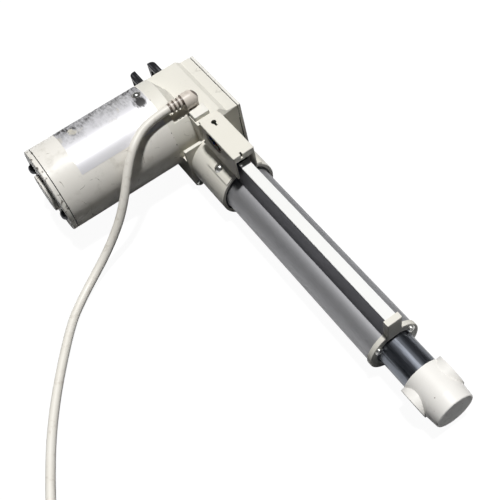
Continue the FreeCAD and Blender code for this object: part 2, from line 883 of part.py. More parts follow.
# Worm, left-handed, with its thread pointing down into the wheel at y = 0
def worm():
    crest_half = tooth_share * tooth_pitch / 2 - addendum * math.tan(math.radians(pressure_angle))
    bar = threaded_bar(worm_r - dedendum, worm_r + addendum, crest_half, pressure_angle, tooth_pitch, worm_length)
    bar.rotate(Vec(0, 0, 0), ALONG_Z, -360 * worm_length / 2 / tooth_pitch)
    bar = mirrored_y(bar)
    bar.rotate(Vec(0, 0, 0), ALONG_Z, 90)
    bar.rotate(Vec(0, 0, 0), ALONG_X, -90)
    bar.translate(Vec(motor_x, -worm_length / 2, motor_z))
    return bar.cut(motor_bar(worm_shaft_r, -worm_length, worm_length))


def involute(angle):
    return math.tan(angle) - angle


def wheel_outline(x, turn):
    pressure = math.radians(pressure_angle)
    base_r = wheel_r * math.cos(pressure)
    pitch_half = tooth_share * tooth_pitch / 2 / wheel_r
    root_r = wheel_r - dedendum
    tip_r = wheel_r + addendum

    def half_angle(r):
        steep = math.acos(min(1.0, base_r / r))
        return pitch_half + involute(pressure) - involute(steep)

    radii = [root_r] + [base_r + (tip_r - base_r) * i / 3 for i in range(4)]
    points = []
    for tooth in range(wheel_teeth):
        middle = 2 * math.pi * (tooth + 0.5) / wheel_teeth + turn
        points += [(r, middle - half_angle(max(r, base_r))) for r in radii]
        points += [(r, middle + half_angle(max(r, base_r))) for r in reversed(radii)]
    corners = [Vec(x, -r * math.sin(a), r * math.cos(a)) for r, a in points]
    return Part.makePolygon(corners + corners[:1])


def worm_wheel():
    slant = tooth_pitch / (2 * math.pi * worm_r)
    half_turn = slant * wheel_width / 2 / wheel_r
    rear_x = motor_x - wheel_width / 2
    blank = Part.makeLoft([wheel_outline(rear_x, half_turn), wheel_outline(rear_x + wheel_width, -half_turn)],
                          True, True)
    return blank.cut(bar_x(main_journal_r, rear_x - 1, rear_x + wheel_width + 1))


# Spindle and its bearings
def spindle():
    shoulder_x = rear_bearing_x + rear_bearing + clear
    rear = bar_x(rear_journal_r, rear_bearing_x - circlip - clear - 0.8, shoulder_x)
    middle = bar_x(main_journal_r, shoulder_x, thread_rear_x)
    return union(rear, middle).fuse(spindle_thread(thread_rear_x, spindle_front_x))


def spindle_circlip():
    front = rear_bearing_x - clear
    return ring_x(circlip_r, rear_journal_r, front - circlip, front)


def spindle_rear_bearing():
    return ring_x(spindle_bearing_r, rear_journal_r + running, rear_bearing_x, rear_bearing_x + rear_bearing)


def spindle_front_bearing():
    return ring_x(spindle_bearing_r, main_journal_r + running, front_bearing_x, front_bearing_x + front_bearing)


# Flange with its collar, and the black sleeve inside it
def flange_screw_places():
    y = flange_half_y - flange_screw_inset
    z = flange_half_z - flange_screw_inset
    return [(-y, -z), (y, -z)]


def tube_collar():
    plate = block(flange_rear_x, flange_front_x, -flange_half_y, flange_half_y, -flange_half_z, flange_half_z)
    plate = softened(plate, flange_corner, lambda box: box.XLength > 1 and box.YLength < 0.01
                     and box.ZMax < 0)
    corner = block(flange_rear_x - 1, flange_front_x + 1, 0, flange_half_y + 1, 0, flange_half_z + 1)
    plate = plate.cut(corner.cut(bar_x(collar_r, flange_rear_x - 1, flange_front_x + 1)))
    sleeve = bar_x(collar_r, flange_front_x - 1, collar_front_x)
    shape = union(plate, sleeve)
    shape = softened(shape, collar_edge, lambda box: box.XMin > collar_front_x - 0.01)
    slot = block(flange_front_x, collar_front_x + 1, -collar_slot_half, collar_slot_half, 0, collar_r + 1)
    holes = [bar_x(flange_screw_r, flange_rear_x - 1, flange_front_x + 1, y, z) for y, z in flange_screw_places()]
    drill = bar_z(box_screw_r, -bracket_flap - collar_wall - 1, 1)
    holes += [placed(drill, at, out) for at, out in box_screw_seats()]
    return cut(shape, bar_x(collar_r - collar_wall, flange_front_x, collar_front_x + 1), slot,
               bar_x(tube_bore_r, flange_rear_x - 1, flange_front_x + 1), *holes)


def flange_screws():
    screw = pan_screw(flange_screw_head_r, flange_screw_head, flange_screw_r, flange + flange_screw_grip - 1)
    return Part.makeCompound([placed(screw, Vec(flange_front_x, y, z), ALONG_X) for y, z in flange_screw_places()])


def tube_sleeve():
    sleeve = ring_x(collar_r - collar_wall, tube_r, flange_front_x, collar_front_x - sleeve_recess)
    slot = block(flange_front_x - 1, collar_front_x, -collar_slot_half, collar_slot_half, 0, collar_r + 1)
    return sleeve.cut(slot)


# Profile, strip and the sensor board under it
def outer_tube():
    reach = tube_r - lobe_r
    lobe_z = math.sqrt(reach ** 2 - lobe_y ** 2)
    join_z = lobe_z * tube_r / reach
    upper = block(tube_rear_x - 1, tube_front_x + 1, -tube_r - 1, tube_r + 1, join_z, tube_r + 1)
    underside = bar_x(tube_r, tube_rear_x, tube_front_x).cut(upper)
    lobes = [bar_x(lobe_r, tube_rear_x, tube_front_x, y, lobe_z) for y in (-lobe_y, lobe_y)]
    crown = block(tube_rear_x, tube_front_x, -lobe_y, lobe_y, 0, lobe_z + lobe_r)
    round_part = union(underside, crown, *lobes)
    slope = (channel_base_half - channel_half) / (channel_top_z - channel_base_z)
    foot_z = tube_bore_r
    foot_half = channel_half + slope * (channel_top_z - foot_z)
    channel = prism_x([(-foot_half, foot_z), (foot_half, foot_z), (channel_half, channel_top_z),
                       (-channel_half, channel_top_z)], tube_rear_x + channel_start, tube_front_x)
    shape = union(round_part, channel)
    slot = block(tube_rear_x - 1, tube_front_x + 1, -channel_slot_half, channel_slot_half, channel_floor_z,
                 channel_top_z + 1)
    screws = [bar_x(cap_screw_r, tube_front_x - cap_screw_grip, tube_front_x + 1, y, cap_screw_z)
              for y in (-cap_screw_y, cap_screw_y)]
    return cut(shape, bar_x(tube_bore_r, tube_rear_x - 1, tube_front_x + 1), slot, *screws)


def cover_strip():
    return block(strip_join_x, tube_front_x, -strip_half, strip_half, channel_top_z, channel_top_z + strip)


def strip_start():
    return block(strip_rear_x, strip_join_x, -strip_half, strip_half, channel_top_z,
                 channel_top_z + strip_start_height)


def sensor_board_strip():
    return block(tube_rear_x + channel_start + sensor_end_gap, tube_front_x - sensor_end_gap, -sensor_board_half,
                 sensor_board_half, channel_floor_z, channel_floor_z + sensor_board)


# Switch box on the collar
def box_screw_seats():
    x = box_rear_x + box_screw_from_rear
    seats = []
    for side in (-1, 1):
        a = math.radians(box_screw_angle) * side
        out = Vec(0, math.sin(a), math.cos(a))
        seats.append((Vec(x, 0, 0) + out * (collar_r + bracket_flap), out))
    return seats


def switch_box_lid():
    lid = block(box_rear_x, box_front_x, -box_half, box_half, box_bottom_z, box_top_z)
    lid = softened(lid, box_edge, lambda box: box.ZMin > box_bottom_z + 0.01 or box.ZLength > box_height / 2)
    ledge_z = box_top_z - box_ledge_drop
    ledge = block(box_rear_x - box_ledge, box_rear_x + box_wall, -box_half + box_edge, box_half - box_edge,
                  ledge_z - box_ledge_height, ledge_z)
    lid = union(lid, ledge)
    inside = block(box_rear_x + box_wall, box_front_x - box_wall, -box_half + box_wall, box_half - box_wall,
                   box_bottom_z - 1, box_top_z - box_wall)
    front = block(box_front_x - box_wall - 1, box_front_x + 1, -box_half + box_wall, box_half - box_wall,
                  box_bottom_z - 1, box_top_z - box_lip)
    notch = block(box_front_x - box_wall - 1, box_front_x + 1, notch_y - notch_half, notch_y + notch_half,
                  box_top_z - notch_depth, box_top_z + 1)
    window_x = box_rear_x + box_window_rear
    window = union(bar_y(box_window_r, -box_half - 1, 0, window_x + box_window_r, box_window_z),
                   bar_y(box_window_r, -box_half - 1, 0, window_x + box_window_length - box_window_r, box_window_z),
                   block(window_x + box_window_r, window_x + box_window_length - box_window_r, -box_half - 1, 0,
                         box_window_z - box_window_r, box_window_z + box_window_r))
    key_x = box_rear_x + keyhole_from_rear
    keyhole = union(bar_z(keyhole_r, box_top_z - box_wall - 1, box_top_z + 1, key_x, 0),
                    block(key_x, key_x + keyhole_slot, -keyhole_slot_half, keyhole_slot_half,
                          box_top_z - box_wall - 1, box_top_z + 1))
    return cut(lid, inside, front, notch, window, keyhole)


def bracket_flap_half():
    start = box_rear_x + bracket_flap_start
    ring = ring_x(collar_r + bracket_flap, collar_r, start, min(start + bracket_flap_length, collar_front_x))
    low = math.radians(bracket_flap_to)
    high = math.asin((box_half - box_wall - bracket_wall / 2) / collar_r)
    far = 2 * collar_r
    wedge = prism_x([(0, 0), (-far * math.sin(low), far * math.cos(low)), (-far * math.sin(high),
                     far * math.cos(high))], start - 1, collar_front_x + 1)
    return ring.common(wedge)


def switch_box_bracket():
    outer = box_half - box_wall
    inner = outer - bracket_wall
    rear_x = box_rear_x + box_wall
    front_x = box_rear_x + bracket_flap_start + bracket_flap_length - 1
    walls = block(rear_x, front_x, -outer, outer, collar_r - bracket_root, bracket_top_z)
    walls = walls.cut(block(rear_x + bracket_wall, front_x + 1, -inner, inner, 0, bracket_top_z + 1))
    walls = cut(walls, bar_x(collar_r, rear_x - 1, front_x + 1),
                block(rear_x - 1, front_x + 1, -collar_slot_half, collar_slot_half, 0, collar_r - bracket_flap))
    flap = bracket_flap_half()
    shape = union(walls, flap, mirrored_y(flap))
    holes = [placed(bar_z(box_screw_r, -bracket_flap - 1, 1), at, out) for at, out in box_screw_seats()]
    return cut(shape, *holes)


def switch_box_screws():
    screw = dome_screw(box_screw_head_r, box_screw_head, box_screw_r, bracket_flap + collar_wall - 0.5)
    seat = bar_x(collar_r + bracket_flap, box_rear_x, box_front_x)
    return seated_screws(screw, box_screw_head_r, box_screw_r, box_screw_settle, seat, box_screw_seats())


def terminal_block():
    half = box_half - box_wall - clear
    rear_x = box_rear_x + box_wall + bracket_wall + 2
    front_x = box_rear_x + bracket_flap_start + bracket_flap_length - 2
    board = block(rear_x, front_x, -half, half, bracket_top_z, bracket_top_z + terminal_board)
    middle = (rear_x + front_x) / 2
    top = bracket_top_z + terminal_board
    terminals = block(middle - terminal_length / 2, middle + terminal_length / 2, -terminal_half, terminal_half, top,
                      top + terminal_height)
    pitch = terminal_length / terminal_screws
    first = middle - (terminal_length - pitch) / 2
    screws = [bar_z(terminal_screw_r, top + terminal_height - 1, top + terminal_height + 1, first + pitch * i, 0)
              for i in range(terminal_screws)]
    return cut(union(board, terminals), *screws)


# Front cap, guide bush and wiper
def front_cap():
    plate = bar_x(cap_r, tube_front_x, cap_front_x)
    top = block(tube_front_x, cap_front_x + cap_block, -cap_block_half, cap_block_half, cap_block_base_z,
                cap_block_top_z)
    shape = union(plate, top)
    shape = softened(shape, cap_edge, lambda box: box.XMin > tube_front_x + 0.01
                     and box.ZMax > cap_block_top_z - 0.01 or box.XMin > cap_front_x - 0.01 and box.YLength > cap_r)
    wiper_r = rod_r + wiper_wall
    screws = [bar_x(cap_screw_r, tube_front_x - 1, cap_front_x + 1, y, cap_screw_z)
              for y in (-cap_screw_y, cap_screw_y)]
    return cut(shape, bar_x(rod_r + clear, tube_front_x - 1, cap_front_x + cap_block + 1),
               bar_x(wiper_r, cap_front_x - wiper_depth, cap_front_x + cap_block + 1), *screws)


def front_cap_screws():
    screw = pan_screw(cap_screw_head_r, cap_screw_head, cap_screw_r, cap + cap_screw_grip - 1)
    return Part.makeCompound([placed(screw, Vec(cap_front_x, y, cap_screw_z), ALONG_X)
                              for y in (-cap_screw_y, cap_screw_y)])


def rod_guide_bush():
    return ring_x(tube_bore_r, rod_r + running, tube_front_x - guide_length, tube_front_x)


def rod_wiper():
    rear = cap_front_x - wiper_depth
    return ring_x(rod_r + wiper_wall, rod_r + running, rear, cap_front_x - wiper_recess)


# Rod, nut, guide ring and eye
def piston_rod():
    return ring_x(rod_r, rod_bore_r, rod_rear_x, rod_front_x)


def spindle_nut():
    rear = rod_rear_x - guide_ring - nut_flange
    front = rod_rear_x + nut_length - guide_ring
    body = union(bar_x(rod_bore_r, rear, front), bar_x(nut_flange_r, rear, rear + nut_flange))
    return body.cut(bar_x(spindle_r + thread_clear, rear - 1, front + 1))


def rod_guide_ring():
    return ring_x(tube_bore_r - running, rod_bore_r, rod_rear_x - guide_ring, rod_rear_x)


def rolled(shape):
    turned = shape.copy()
    turned.rotate(Vec(0, 0, 0), ALONG_X, eye_roll)
    return turned


def rod_eye():
    nose_x = front_pivot_x + eye_front
    body = turned_x([(eye_rear_x, 0), (eye_rear_x, eye_r), (front_pivot_x + eye_taper, eye_r), (nose_x, eye_nose_r),
                     (nose_x, 0)])
    body = softened(body, eye_nose_edge, lambda box: box.XMin > nose_x - 0.01 and box.YLength > eye_nose_r)
    pads = bar_y(eye_pad_r, -eye_pad_half, eye_pad_half, front_pivot_x)
    pads = softened(pads, eye_pad_edge, lambda box: box.YLength < 0.01)
    pads = pads.cut(block(eye_rear_x - eye_pad_r, eye_rear_x, -eye_pad_half, eye_pad_half, -eye_pad_r, eye_pad_r))
    bore = bar_y(eye_bore_r + eye_bush_wall, -eye_pad_half - 1, eye_pad_half + 1, front_pivot_x)
    socket = bar_x(rod_r + running, eye_rear_x - 1, rod_front_x + clear)
    spigot = bar_x(rod_bore_r - running, rod_front_x - eye_spigot, rod_front_x + 1)
    return rolled(cut(union(cut(union(body, pads), socket), spigot), bore))


def eye_bush():
    outer = bar_y(eye_bore_r + eye_bush_wall, -eye_pad_half, eye_pad_half, front_pivot_x)
    return rolled(outer.cut(bar_y(eye_bore_r, -eye_pad_half - 1, eye_pad_half + 1, front_pivot_x)))


# Plug, socket and badge on the housing's plateau
def plug_body():
    leg_r = plug_stub_r + socket_wall
    return union(bar_y(plug_r, plug_body_rear_y, plug_ball_y, plug_x, plug_z),
                 Part.makeSphere(plug_r, Vec(plug_x, plug_ball_y, plug_z), ALONG_Y, 0, 90),
                 bar_z(leg_r, plateau_z + socket_ring, plug_z, plug_x, socket_y),
                 bar_z(plug_stub_r, plateau_z - plug_stub_depth, plug_z, plug_x, socket_y))


def plug_socket():
    top_z = plateau_z + socket_ring
    shape = bar_z(plug_stub_r + socket_wall, plateau_z - socket_depth, top_z, plug_x, socket_y)
    return shape.cut(bar_z(plug_stub_r, plateau_z - plug_stub_depth, top_z + 1, plug_x, socket_y))


def plug_relief():
    steps = 2 * plug_ribs + 1
    rib = plug_relief_length / steps
    outline = [(plug_rear_y, 0)]
    for i in range(steps):
        r = plug_relief_r if i % 2 else plug_relief_r - plug_rib_depth
        outline += [(plug_rear_y + i * rib, r), (plug_rear_y + (i + 1) * rib, r)]
    outline += [(plug_body_rear_y, 0)]
    return turned_y(outline, plug_x, plug_cord_z)


def badge_plate():
    plate = block(badge_front_x - badge_length, badge_front_x, badge_near_y, badge_far_y, plateau_z, plateau_z + badge)
    return softened(plate, badge_edge, lambda box: box.ZMin > plateau_z + 0.01 or box.ZLength > 1)


# Cord: out of the plug, over the motor, down its front side and along the floor
cord_floor_z = floor_z + cord_r
cord_route = [
    Vec(plug_x, plug_rear_y, plug_cord_z),
    Vec(plug_x, -33.5, plug_cord_z),
    Vec(101.7, -50.9, 54.8),
    Vec(110.4, -66.4, 51.2),
    Vec(118.4, -79.0, 40.6),
    Vec(127.4, -91.8, 25.6),
    Vec(133.8, -105.7, 9.4),
    Vec(138.2, -121.2, -4.6),
    Vec(143.4, -137.2, -14.6),
    Vec(150.6, -153.8, -20.2),
    Vec(160.3, -169.8, cord_floor_z),
    Vec(173.4, -186.2, cord_floor_z),
    Vec(200.6, -209.4, cord_floor_z),
    Vec(228.5, -230.8, cord_floor_z),
    Vec(256.2, -248.9, cord_floor_z),
    Vec(284.2, -263.9, cord_floor_z),
    Vec(314.6, -278.4, cord_floor_z),
    Vec(345.4, -291.6, cord_floor_z),
    Vec(375.6, -303.2, cord_floor_z),
]


def cord_path(points):
    edges = []
    start = points[0]
    for before, at, after in zip(points, points[1:], points[2:]):
        arriving = at - before
        leaving = after - at
        reach = 0.45 * min(arriving.Length, leaving.Length)
        turn = arriving.getAngle(leaving)
        radius = reach / math.tan(turn / 2)
        first = at - arriving.normalize() * reach
        last = at + leaving.normalize() * reach
        inward = (last - at) + (first - at)
        middle = at + inward.normalize() * (math.hypot(radius, reach) - radius)
        edges.append(Part.LineSegment(start, first).toShape())
        edges.append(Part.Arc(first, middle, last).toShape())
        print("cord radius", round(radius, 1), "turn", round(math.degrees(turn), 1))
        start = last
    edges.append(Part.LineSegment(start, points[-1]).toShape())
    return Part.Wire(edges)


def tube_along(path, towards):
    start = path.Edges[0].Vertexes[0].Point
    profile = Part.Wire(Part.makeCircle(cord_r, start, towards))
    return path.makePipeShell([profile], True, True)


def cord_heading():
    return (cord_route[-1] - cord_route[-2]).normalize()


def coil_centre():
    heading = cord_heading()
    left = Vec(-heading.y, heading.x, 0)
    return cord_route[-1] + left * (coil_turn_r + cord_r) + Vec(0, 0, coil_lift - cord_r)


def cord():
    path = cord_path(cord_route)
    tube = tube_along(path, cord_route[1] - cord_route[0])
    print("cord tube", round(path.Length, 1), "volume ratio",
          round(tube.Volume / (math.pi * cord_r ** 2 * path.Length), 4))
    return tube.cut(cord_coil())


def coil_section(grow):
    inner = coil_turn_r - 2 * cord_r - grow
    outer = coil_turn_r + 2 * cord_r + grow
    return inner, outer, -grow, 4 * cord_r + grow


def cord_coil():
    centre = coil_centre()
    inner, outer, low, high = coil_section(0.0)
    ring = bar_z(outer, centre.z + low, centre.z + high, centre.x, centre.y)
    ring = ring.cut(bar_z(inner, centre.z - 1, centre.z + high + 1, centre.x, centre.y))
    return softened(ring, cord_r * 0.9, lambda box: box.ZLength < 0.01)


def coil_tie():
    centre = coil_centre()
    inner, outer, low, high = coil_section(tie_wall)
    band = block(inner, outer, -tie_width / 2, tie_width / 2, low, high)
    band = softened(band, cord_r * 0.9 + tie_wall, lambda box: box.YLength > 1)
    band.rotate(Vec(0, 0, 0), ALONG_Z, tie_angle)
    band.translate(centre)
    return band.cut(cord_coil())


def tail_start():
    heading = cord_heading()
    start_angle = math.degrees(math.atan2(-heading.x, heading.y))
    angle = math.radians(start_angle + 360 * coil_turns)
    return angle, coil_centre() + Vec(math.cos(angle), math.sin(angle), 0) * (coil_turn_r + cord_r)


def tail_ends():
    angle, start = tail_start()
    start = start + Vec(0, 0, 3 * cord_r)
    heading = Vec(-math.sin(angle), math.cos(angle), 0)
    end = start + heading * tail_length
    end.z = floor_z + far_plug_r
    return start, end


def cord_tail():
    start, end = tail_ends()
    tube = Part.makeCylinder(cord_r, (end - start).Length, start, end - start)
    flat = end - start
    flat.z = 0
    side = 3 * far_plug_r
    beyond = placed(block(-side, side, -side, side, 0, side), end - flat.normalize() * far_seat, flat)
    return cut(tube, cord_coil(), beyond)


def along_tail(outline):
    start, end = tail_ends()
    heading = Vec(end.x - start.x, end.y - start.y, 0)
    face = Part.Face(Part.makePolygon([Vec(r, 0, s) for s, r in outline + outline[:1]]))
    return placed(face.revolve(Vec(0, 0, 0), ALONG_Z, 360), end, heading)


def far_plug_body():
    side = far_relief + far_plug
    return along_tail([(-far_seat, 0), (-far_seat, cord_r + far_lip), (far_relief, far_relief_r),
                       (far_relief, far_plug_r), (side, far_plug_r), (side, 0)])


def far_plug_shell():
    side = far_relief + far_plug
    end = side + far_shell
    bore_r = far_shell_r - far_shell_wall
    floor = side + far_shell_floor
    return along_tail([(side, 0), (side, far_shell_r), (end, far_shell_r), (end, bore_r), (floor, bore_r), (floor, 0)])


nodes = {
    "rear_fork": rear_fork,
    "fork_screws": fork_screws,
    "gear_housing": gear_housing,
    "housing_cover": housing_cover,
    "cover_gasket": cover_gasket,
    "cover_screws": cover_screws,
    "motor_tube": motor_tube,
    "motor_end_cap": motor_end_cap,
    "end_cap_seal": end_cap_seal,
    "tie_bolts": tie_bolts,
    "tube_screws": tube_screws,
    "motor_label": motor_label,
    "magnets": magnets,
    "armature_core": armature_core,
    "armature_windings": armature_windings,
    "commutator": commutator,
    "brushes": brushes,
    "brush_springs": brush_springs,
    "brush_holder": brush_holder,
    "motor_shaft": motor_shaft,
    "motor_rear_bearing": motor_rear_bearing,
    "motor_front_bearing": motor_front_bearing,
    "worm_end_bearing": worm_end_bearing,
    "worm": worm,
    "worm_wheel": worm_wheel,
    "spindle": spindle,
    "spindle_circlip": spindle_circlip,
    "spindle_rear_bearing": spindle_rear_bearing,
    "spindle_front_bearing": spindle_front_bearing,
    "tube_collar": tube_collar,
    "flange_screws": flange_screws,
    "tube_sleeve": tube_sleeve,
    "outer_tube": outer_tube,
    "cover_strip": cover_strip,
    "strip_start": strip_start,
    "sensor_board": sensor_board_strip,
    "switch_box_lid": switch_box_lid,
    "switch_box_bracket": switch_box_bracket,
    "switch_box_screws": switch_box_screws,
    "terminal_block": terminal_block,
    "front_cap": front_cap,
    "front_cap_screws": front_cap_screws,
    "rod_guide_bush": rod_guide_bush,
    "rod_wiper": rod_wiper,
    "piston_rod": piston_rod,
    "spindle_nut": spindle_nut,
    "rod_guide_ring": rod_guide_ring,
    "rod_eye": rod_eye,
    "eye_bush": eye_bush,
    "plug_body": plug_body,
    "plug_socket": plug_socket,
    "plug_relief": plug_relief,
    "badge_plate": badge_plate,
    "cord": cord,
    "cord_coil": cord_coil,
    "coil_tie": coil_tie,
    "cord_tail": cord_tail,
    "far_plug_body": far_plug_body,
    "far_plug_shell": far_plug_shell,
}

for name, make in nodes.items():
    shape = make()
    shape.exportStep("parts/" + name + ".step")
    print(name, "valid", shape.isValid(), "solids", len(shape.Solids), "volume", round(shape.Volume, 1))
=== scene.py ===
# %% [markdown]
# # Dressing an electric linear actuator
#
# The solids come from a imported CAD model: a motor at right angles to a profile tube, with a chromed rod
# that slides out of it. This lesson gives every piece the finish that it has in the photograph, adds the
# pieces that CAD leaves plain, and sets a camera and light like those of the photograph. All lengths are
# metres, in the CAD model's own frame: X runs along the rod, Y across through the pivots, Z is up. Sizes
# that are listed in millimetres are multiplied by MM where they are used.

import json
import math

import bmesh
import bpy
from mathutils import Matrix, Vector


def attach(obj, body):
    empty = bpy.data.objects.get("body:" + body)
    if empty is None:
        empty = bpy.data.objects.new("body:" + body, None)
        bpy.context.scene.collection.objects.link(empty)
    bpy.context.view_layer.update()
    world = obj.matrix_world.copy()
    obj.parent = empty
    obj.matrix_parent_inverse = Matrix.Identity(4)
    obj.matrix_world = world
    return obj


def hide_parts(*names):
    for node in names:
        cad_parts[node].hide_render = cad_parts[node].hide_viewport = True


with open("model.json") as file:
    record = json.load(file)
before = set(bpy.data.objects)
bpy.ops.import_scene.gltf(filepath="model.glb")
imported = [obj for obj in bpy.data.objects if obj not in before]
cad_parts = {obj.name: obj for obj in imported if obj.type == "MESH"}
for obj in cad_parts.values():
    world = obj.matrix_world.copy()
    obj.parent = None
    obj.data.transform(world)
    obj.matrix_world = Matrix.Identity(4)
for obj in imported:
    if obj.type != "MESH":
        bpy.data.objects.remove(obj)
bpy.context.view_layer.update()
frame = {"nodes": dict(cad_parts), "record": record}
nodes = frame["nodes"]
MM = 0.001
MOTOR_X, MOTOR_Z = 74.0, 20.0
MOTOR_FRONT_Y, MOTOR_REAR_Y = -29.0, -137.0
LABEL_R = 39.5
TUBE_SCREW = Vector((67.5, -35.5, 59.0))

# %% [markdown]
# ## Camera
#
# The photograph looks down on the actuator from the rod's side. A camera can be matched by eye, or solved
# from edges whose directions are known. Here it was solved: the round parts give the axes, the rod's 30 mm
# the scale. The three direction vectors below are the camera's own axes, so no angle has to be converted.

# %% Camera
camera = bpy.data.objects.new("camera", bpy.data.cameras.new("camera"))
bpy.context.scene.collection.objects.link(camera)
camera.data.sensor_width = 36.0
camera.data.lens = 61.16
camera.data.clip_start = 0.01
right = Vector((0.5611, 0.8139, -0.1505))
up = Vector((-0.6424, 0.5429, 0.5409))
back = Vector((0.5220, -0.2068, 0.8275))
facing = Matrix((right, up, back)).transposed().to_4x4()
camera.matrix_world = Matrix.Translation((0.5914, -0.1797, 0.5784)) @ facing
bpy.context.scene.camera = camera
print("camera at", [round(c, 4) for c in camera.location])

# %% [markdown]
# ## Cord
#
# The cord is soft PVC, 7.8 mm thick. It leaves the plug level, bends down over the motor and runs on along
# the floor. A pipe of straight runs would look like bent wire, so the cord is one NURBS curve with a round
# bevel. Its bevel is 1 m, scaled down by the radius of each point, so the curve's box is the cord's own.
# The photograph shows only its first 0.36 m. The rest lies just out of view in a coil of three and a
# quarter turns, two wide and two high, and the turns are more points of the same curve. A NURBS curve runs
# inside its points, so those of the coil stand a little further out than the turns.

# %% Cord route and coil
CORD_R = 3.9 * MM
FLOOR_Z = -26.2 * MM
PLUG_X, PLUG_Z = 99.3, 56.8
route = [(PLUG_X, -21.8, PLUG_Z), (PLUG_X, -33.5, PLUG_Z), (101.7, -50.9, 54.8), (110.4, -66.4, 51.2),
         (118.4, -79.0, 40.6), (127.4, -91.8, 25.6), (133.8, -105.7, 9.4), (138.2, -121.2, -4.6),
         (143.4, -137.2, -14.6), (150.6, -153.8, -20.2), (160.3, -169.8, -22.3), (173.4, -186.2, -22.3),
         (200.6, -209.4, -22.3), (228.5, -230.8, -22.3), (256.2, -248.9, -22.3), (284.2, -263.9, -22.3),
         (314.6, -278.4, -22.3), (345.4, -291.6, -22.3), (375.6, -303.2, -22.3)]
points = [Vector(p) * MM for p in route]
heading = (points[-1] - points[-2]).normalized()
TURNS, TURN_POINTS = 3.25, 16
INNER_R, OUTER_R = 39.1 * MM, 46.9 * MM
POINTS_OUT = 1.016
coil_middle = points[-1] + Vector((-heading.y, heading.x, 0)) * OUTER_R
turn_start = math.atan2(-heading.x, heading.y)
LOW_Z, HIGH_Z = -21.3 * MM, -13.5 * MM


def share(value, start, end):
    t = min(max((value - start) / (end - start), 0.0), 1.0)
    return t * t * (3 - 2 * t)


for i in range(1, int(TURNS * TURN_POINTS) + 1):
    turn = i / TURN_POINTS
    inwards = share(turn, 0.80, 1.00) - share(turn, 2.50, 2.70)
    rise = share(turn, 1.62, 1.82)
    r = (OUTER_R + (INNER_R - OUTER_R) * inwards) * POINTS_OUT
    z = LOW_Z + (HIGH_Z - LOW_Z) * rise
    a = turn_start + 2 * math.pi * turn
    points.append(Vector((coil_middle.x + r * math.cos(a), coil_middle.y + r * math.sin(a), z)))
TAIL, FAR_PLUG_R = 34 * MM, 7.5 * MM
tail_end = points[-1] + Vector((-math.sin(a), math.cos(a), 0)) * TAIL
tail_end.z = FLOOR_Z + FAR_PLUG_R
points += [points[-1].lerp(tail_end, 0.35), points[-1].lerp(tail_end, 0.7), tail_end]

curve = bpy.data.curves.new("mains_cord", "CURVE")
curve.dimensions = "3D"
curve.bevel_depth = 1.0
curve.bevel_resolution = 8
curve.resolution_u = 8
curve.use_fill_caps = True
spline = curve.splines.new("NURBS")
spline.points.add(len(points) - 1)
for knot, at in zip(spline.points, points):
    knot.co = (*at, 1.0)
    knot.radius = CORD_R
spline.order_u = 3
spline.use_endpoint_u = True
mains_cord = bpy.data.objects.new("mains_cord", curve)
bpy.context.scene.collection.objects.link(mains_cord)
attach(mains_cord, "case")
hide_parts("cord", "cord_coil", "cord_tail")
print("cord points:", len(points))

# %% [markdown]
# ## Tools for finishes
#
# Colours are written as sRGB hex values, as a paint card gives them, and turned to linear for the shaders.
# A pattern's scale is worked out from its size in millimetres: a noise of scale 500 per metre has lumps of
# 2 mm.

# %% Colour and node helpers
def paint(code):
    parts = [int(code[i:i + 2], 16) / 255 for i in (1, 3, 5)]
    return tuple(c / 12.92 if c <= 0.04045 else ((c + 0.055) / 1.055) ** 2.4 for c in parts) + (1.0,)


def per_metre(size_mm):
    return 1000.0 / size_mm


def add(tree, kind, inputs=None, **settings):
    node = tree.nodes.new(kind)
    for name, value in settings.items():
        setattr(node, name, value)
    for socket, value in (inputs or {}).items():
        if isinstance(value, bpy.types.NodeSocket):
            tree.links.new(value, node.inputs[socket])
        else:
            node.inputs[socket].default_value = value
    return node


def start_finish(name, **sockets):
    material = bpy.data.materials.new(name)
    material.use_nodes = True
    tree = material.node_tree
    shader = tree.nodes["Principled BSDF"]
    for socket, value in sockets.items():
        shader.inputs[socket.replace("_", " ")].default_value = value
    place = add(tree, "ShaderNodeTexCoord").outputs["Object"]
    return material, tree, shader, place


def stain(tree, shader, mask, code):
    under = shader.inputs["Base Color"].links[0].from_socket
    coat = add(tree, "ShaderNodeMix", {"Factor": mask, "A": under, "B": paint(code)}, data_type="RGBA")
    tree.links.new(coat.outputs["Result"], shader.inputs["Base Color"])


finishes = {}
print("helpers ready")

# %% [markdown]
# ## Sprayed paint
#
# Housing, cover and motor are cream enamel, sprayed on cast aluminium and steel. Sprayed enamel has a faint
# orange peel about a millimetre wide and an uneven tone over some centimetres. This one was used for years:
# it has soft smudges and a few hairline scratches. A scratch could be drawn as a curve, but one level line
# of a wide noise is as thin and winding, and a second noise breaks it into short pieces.

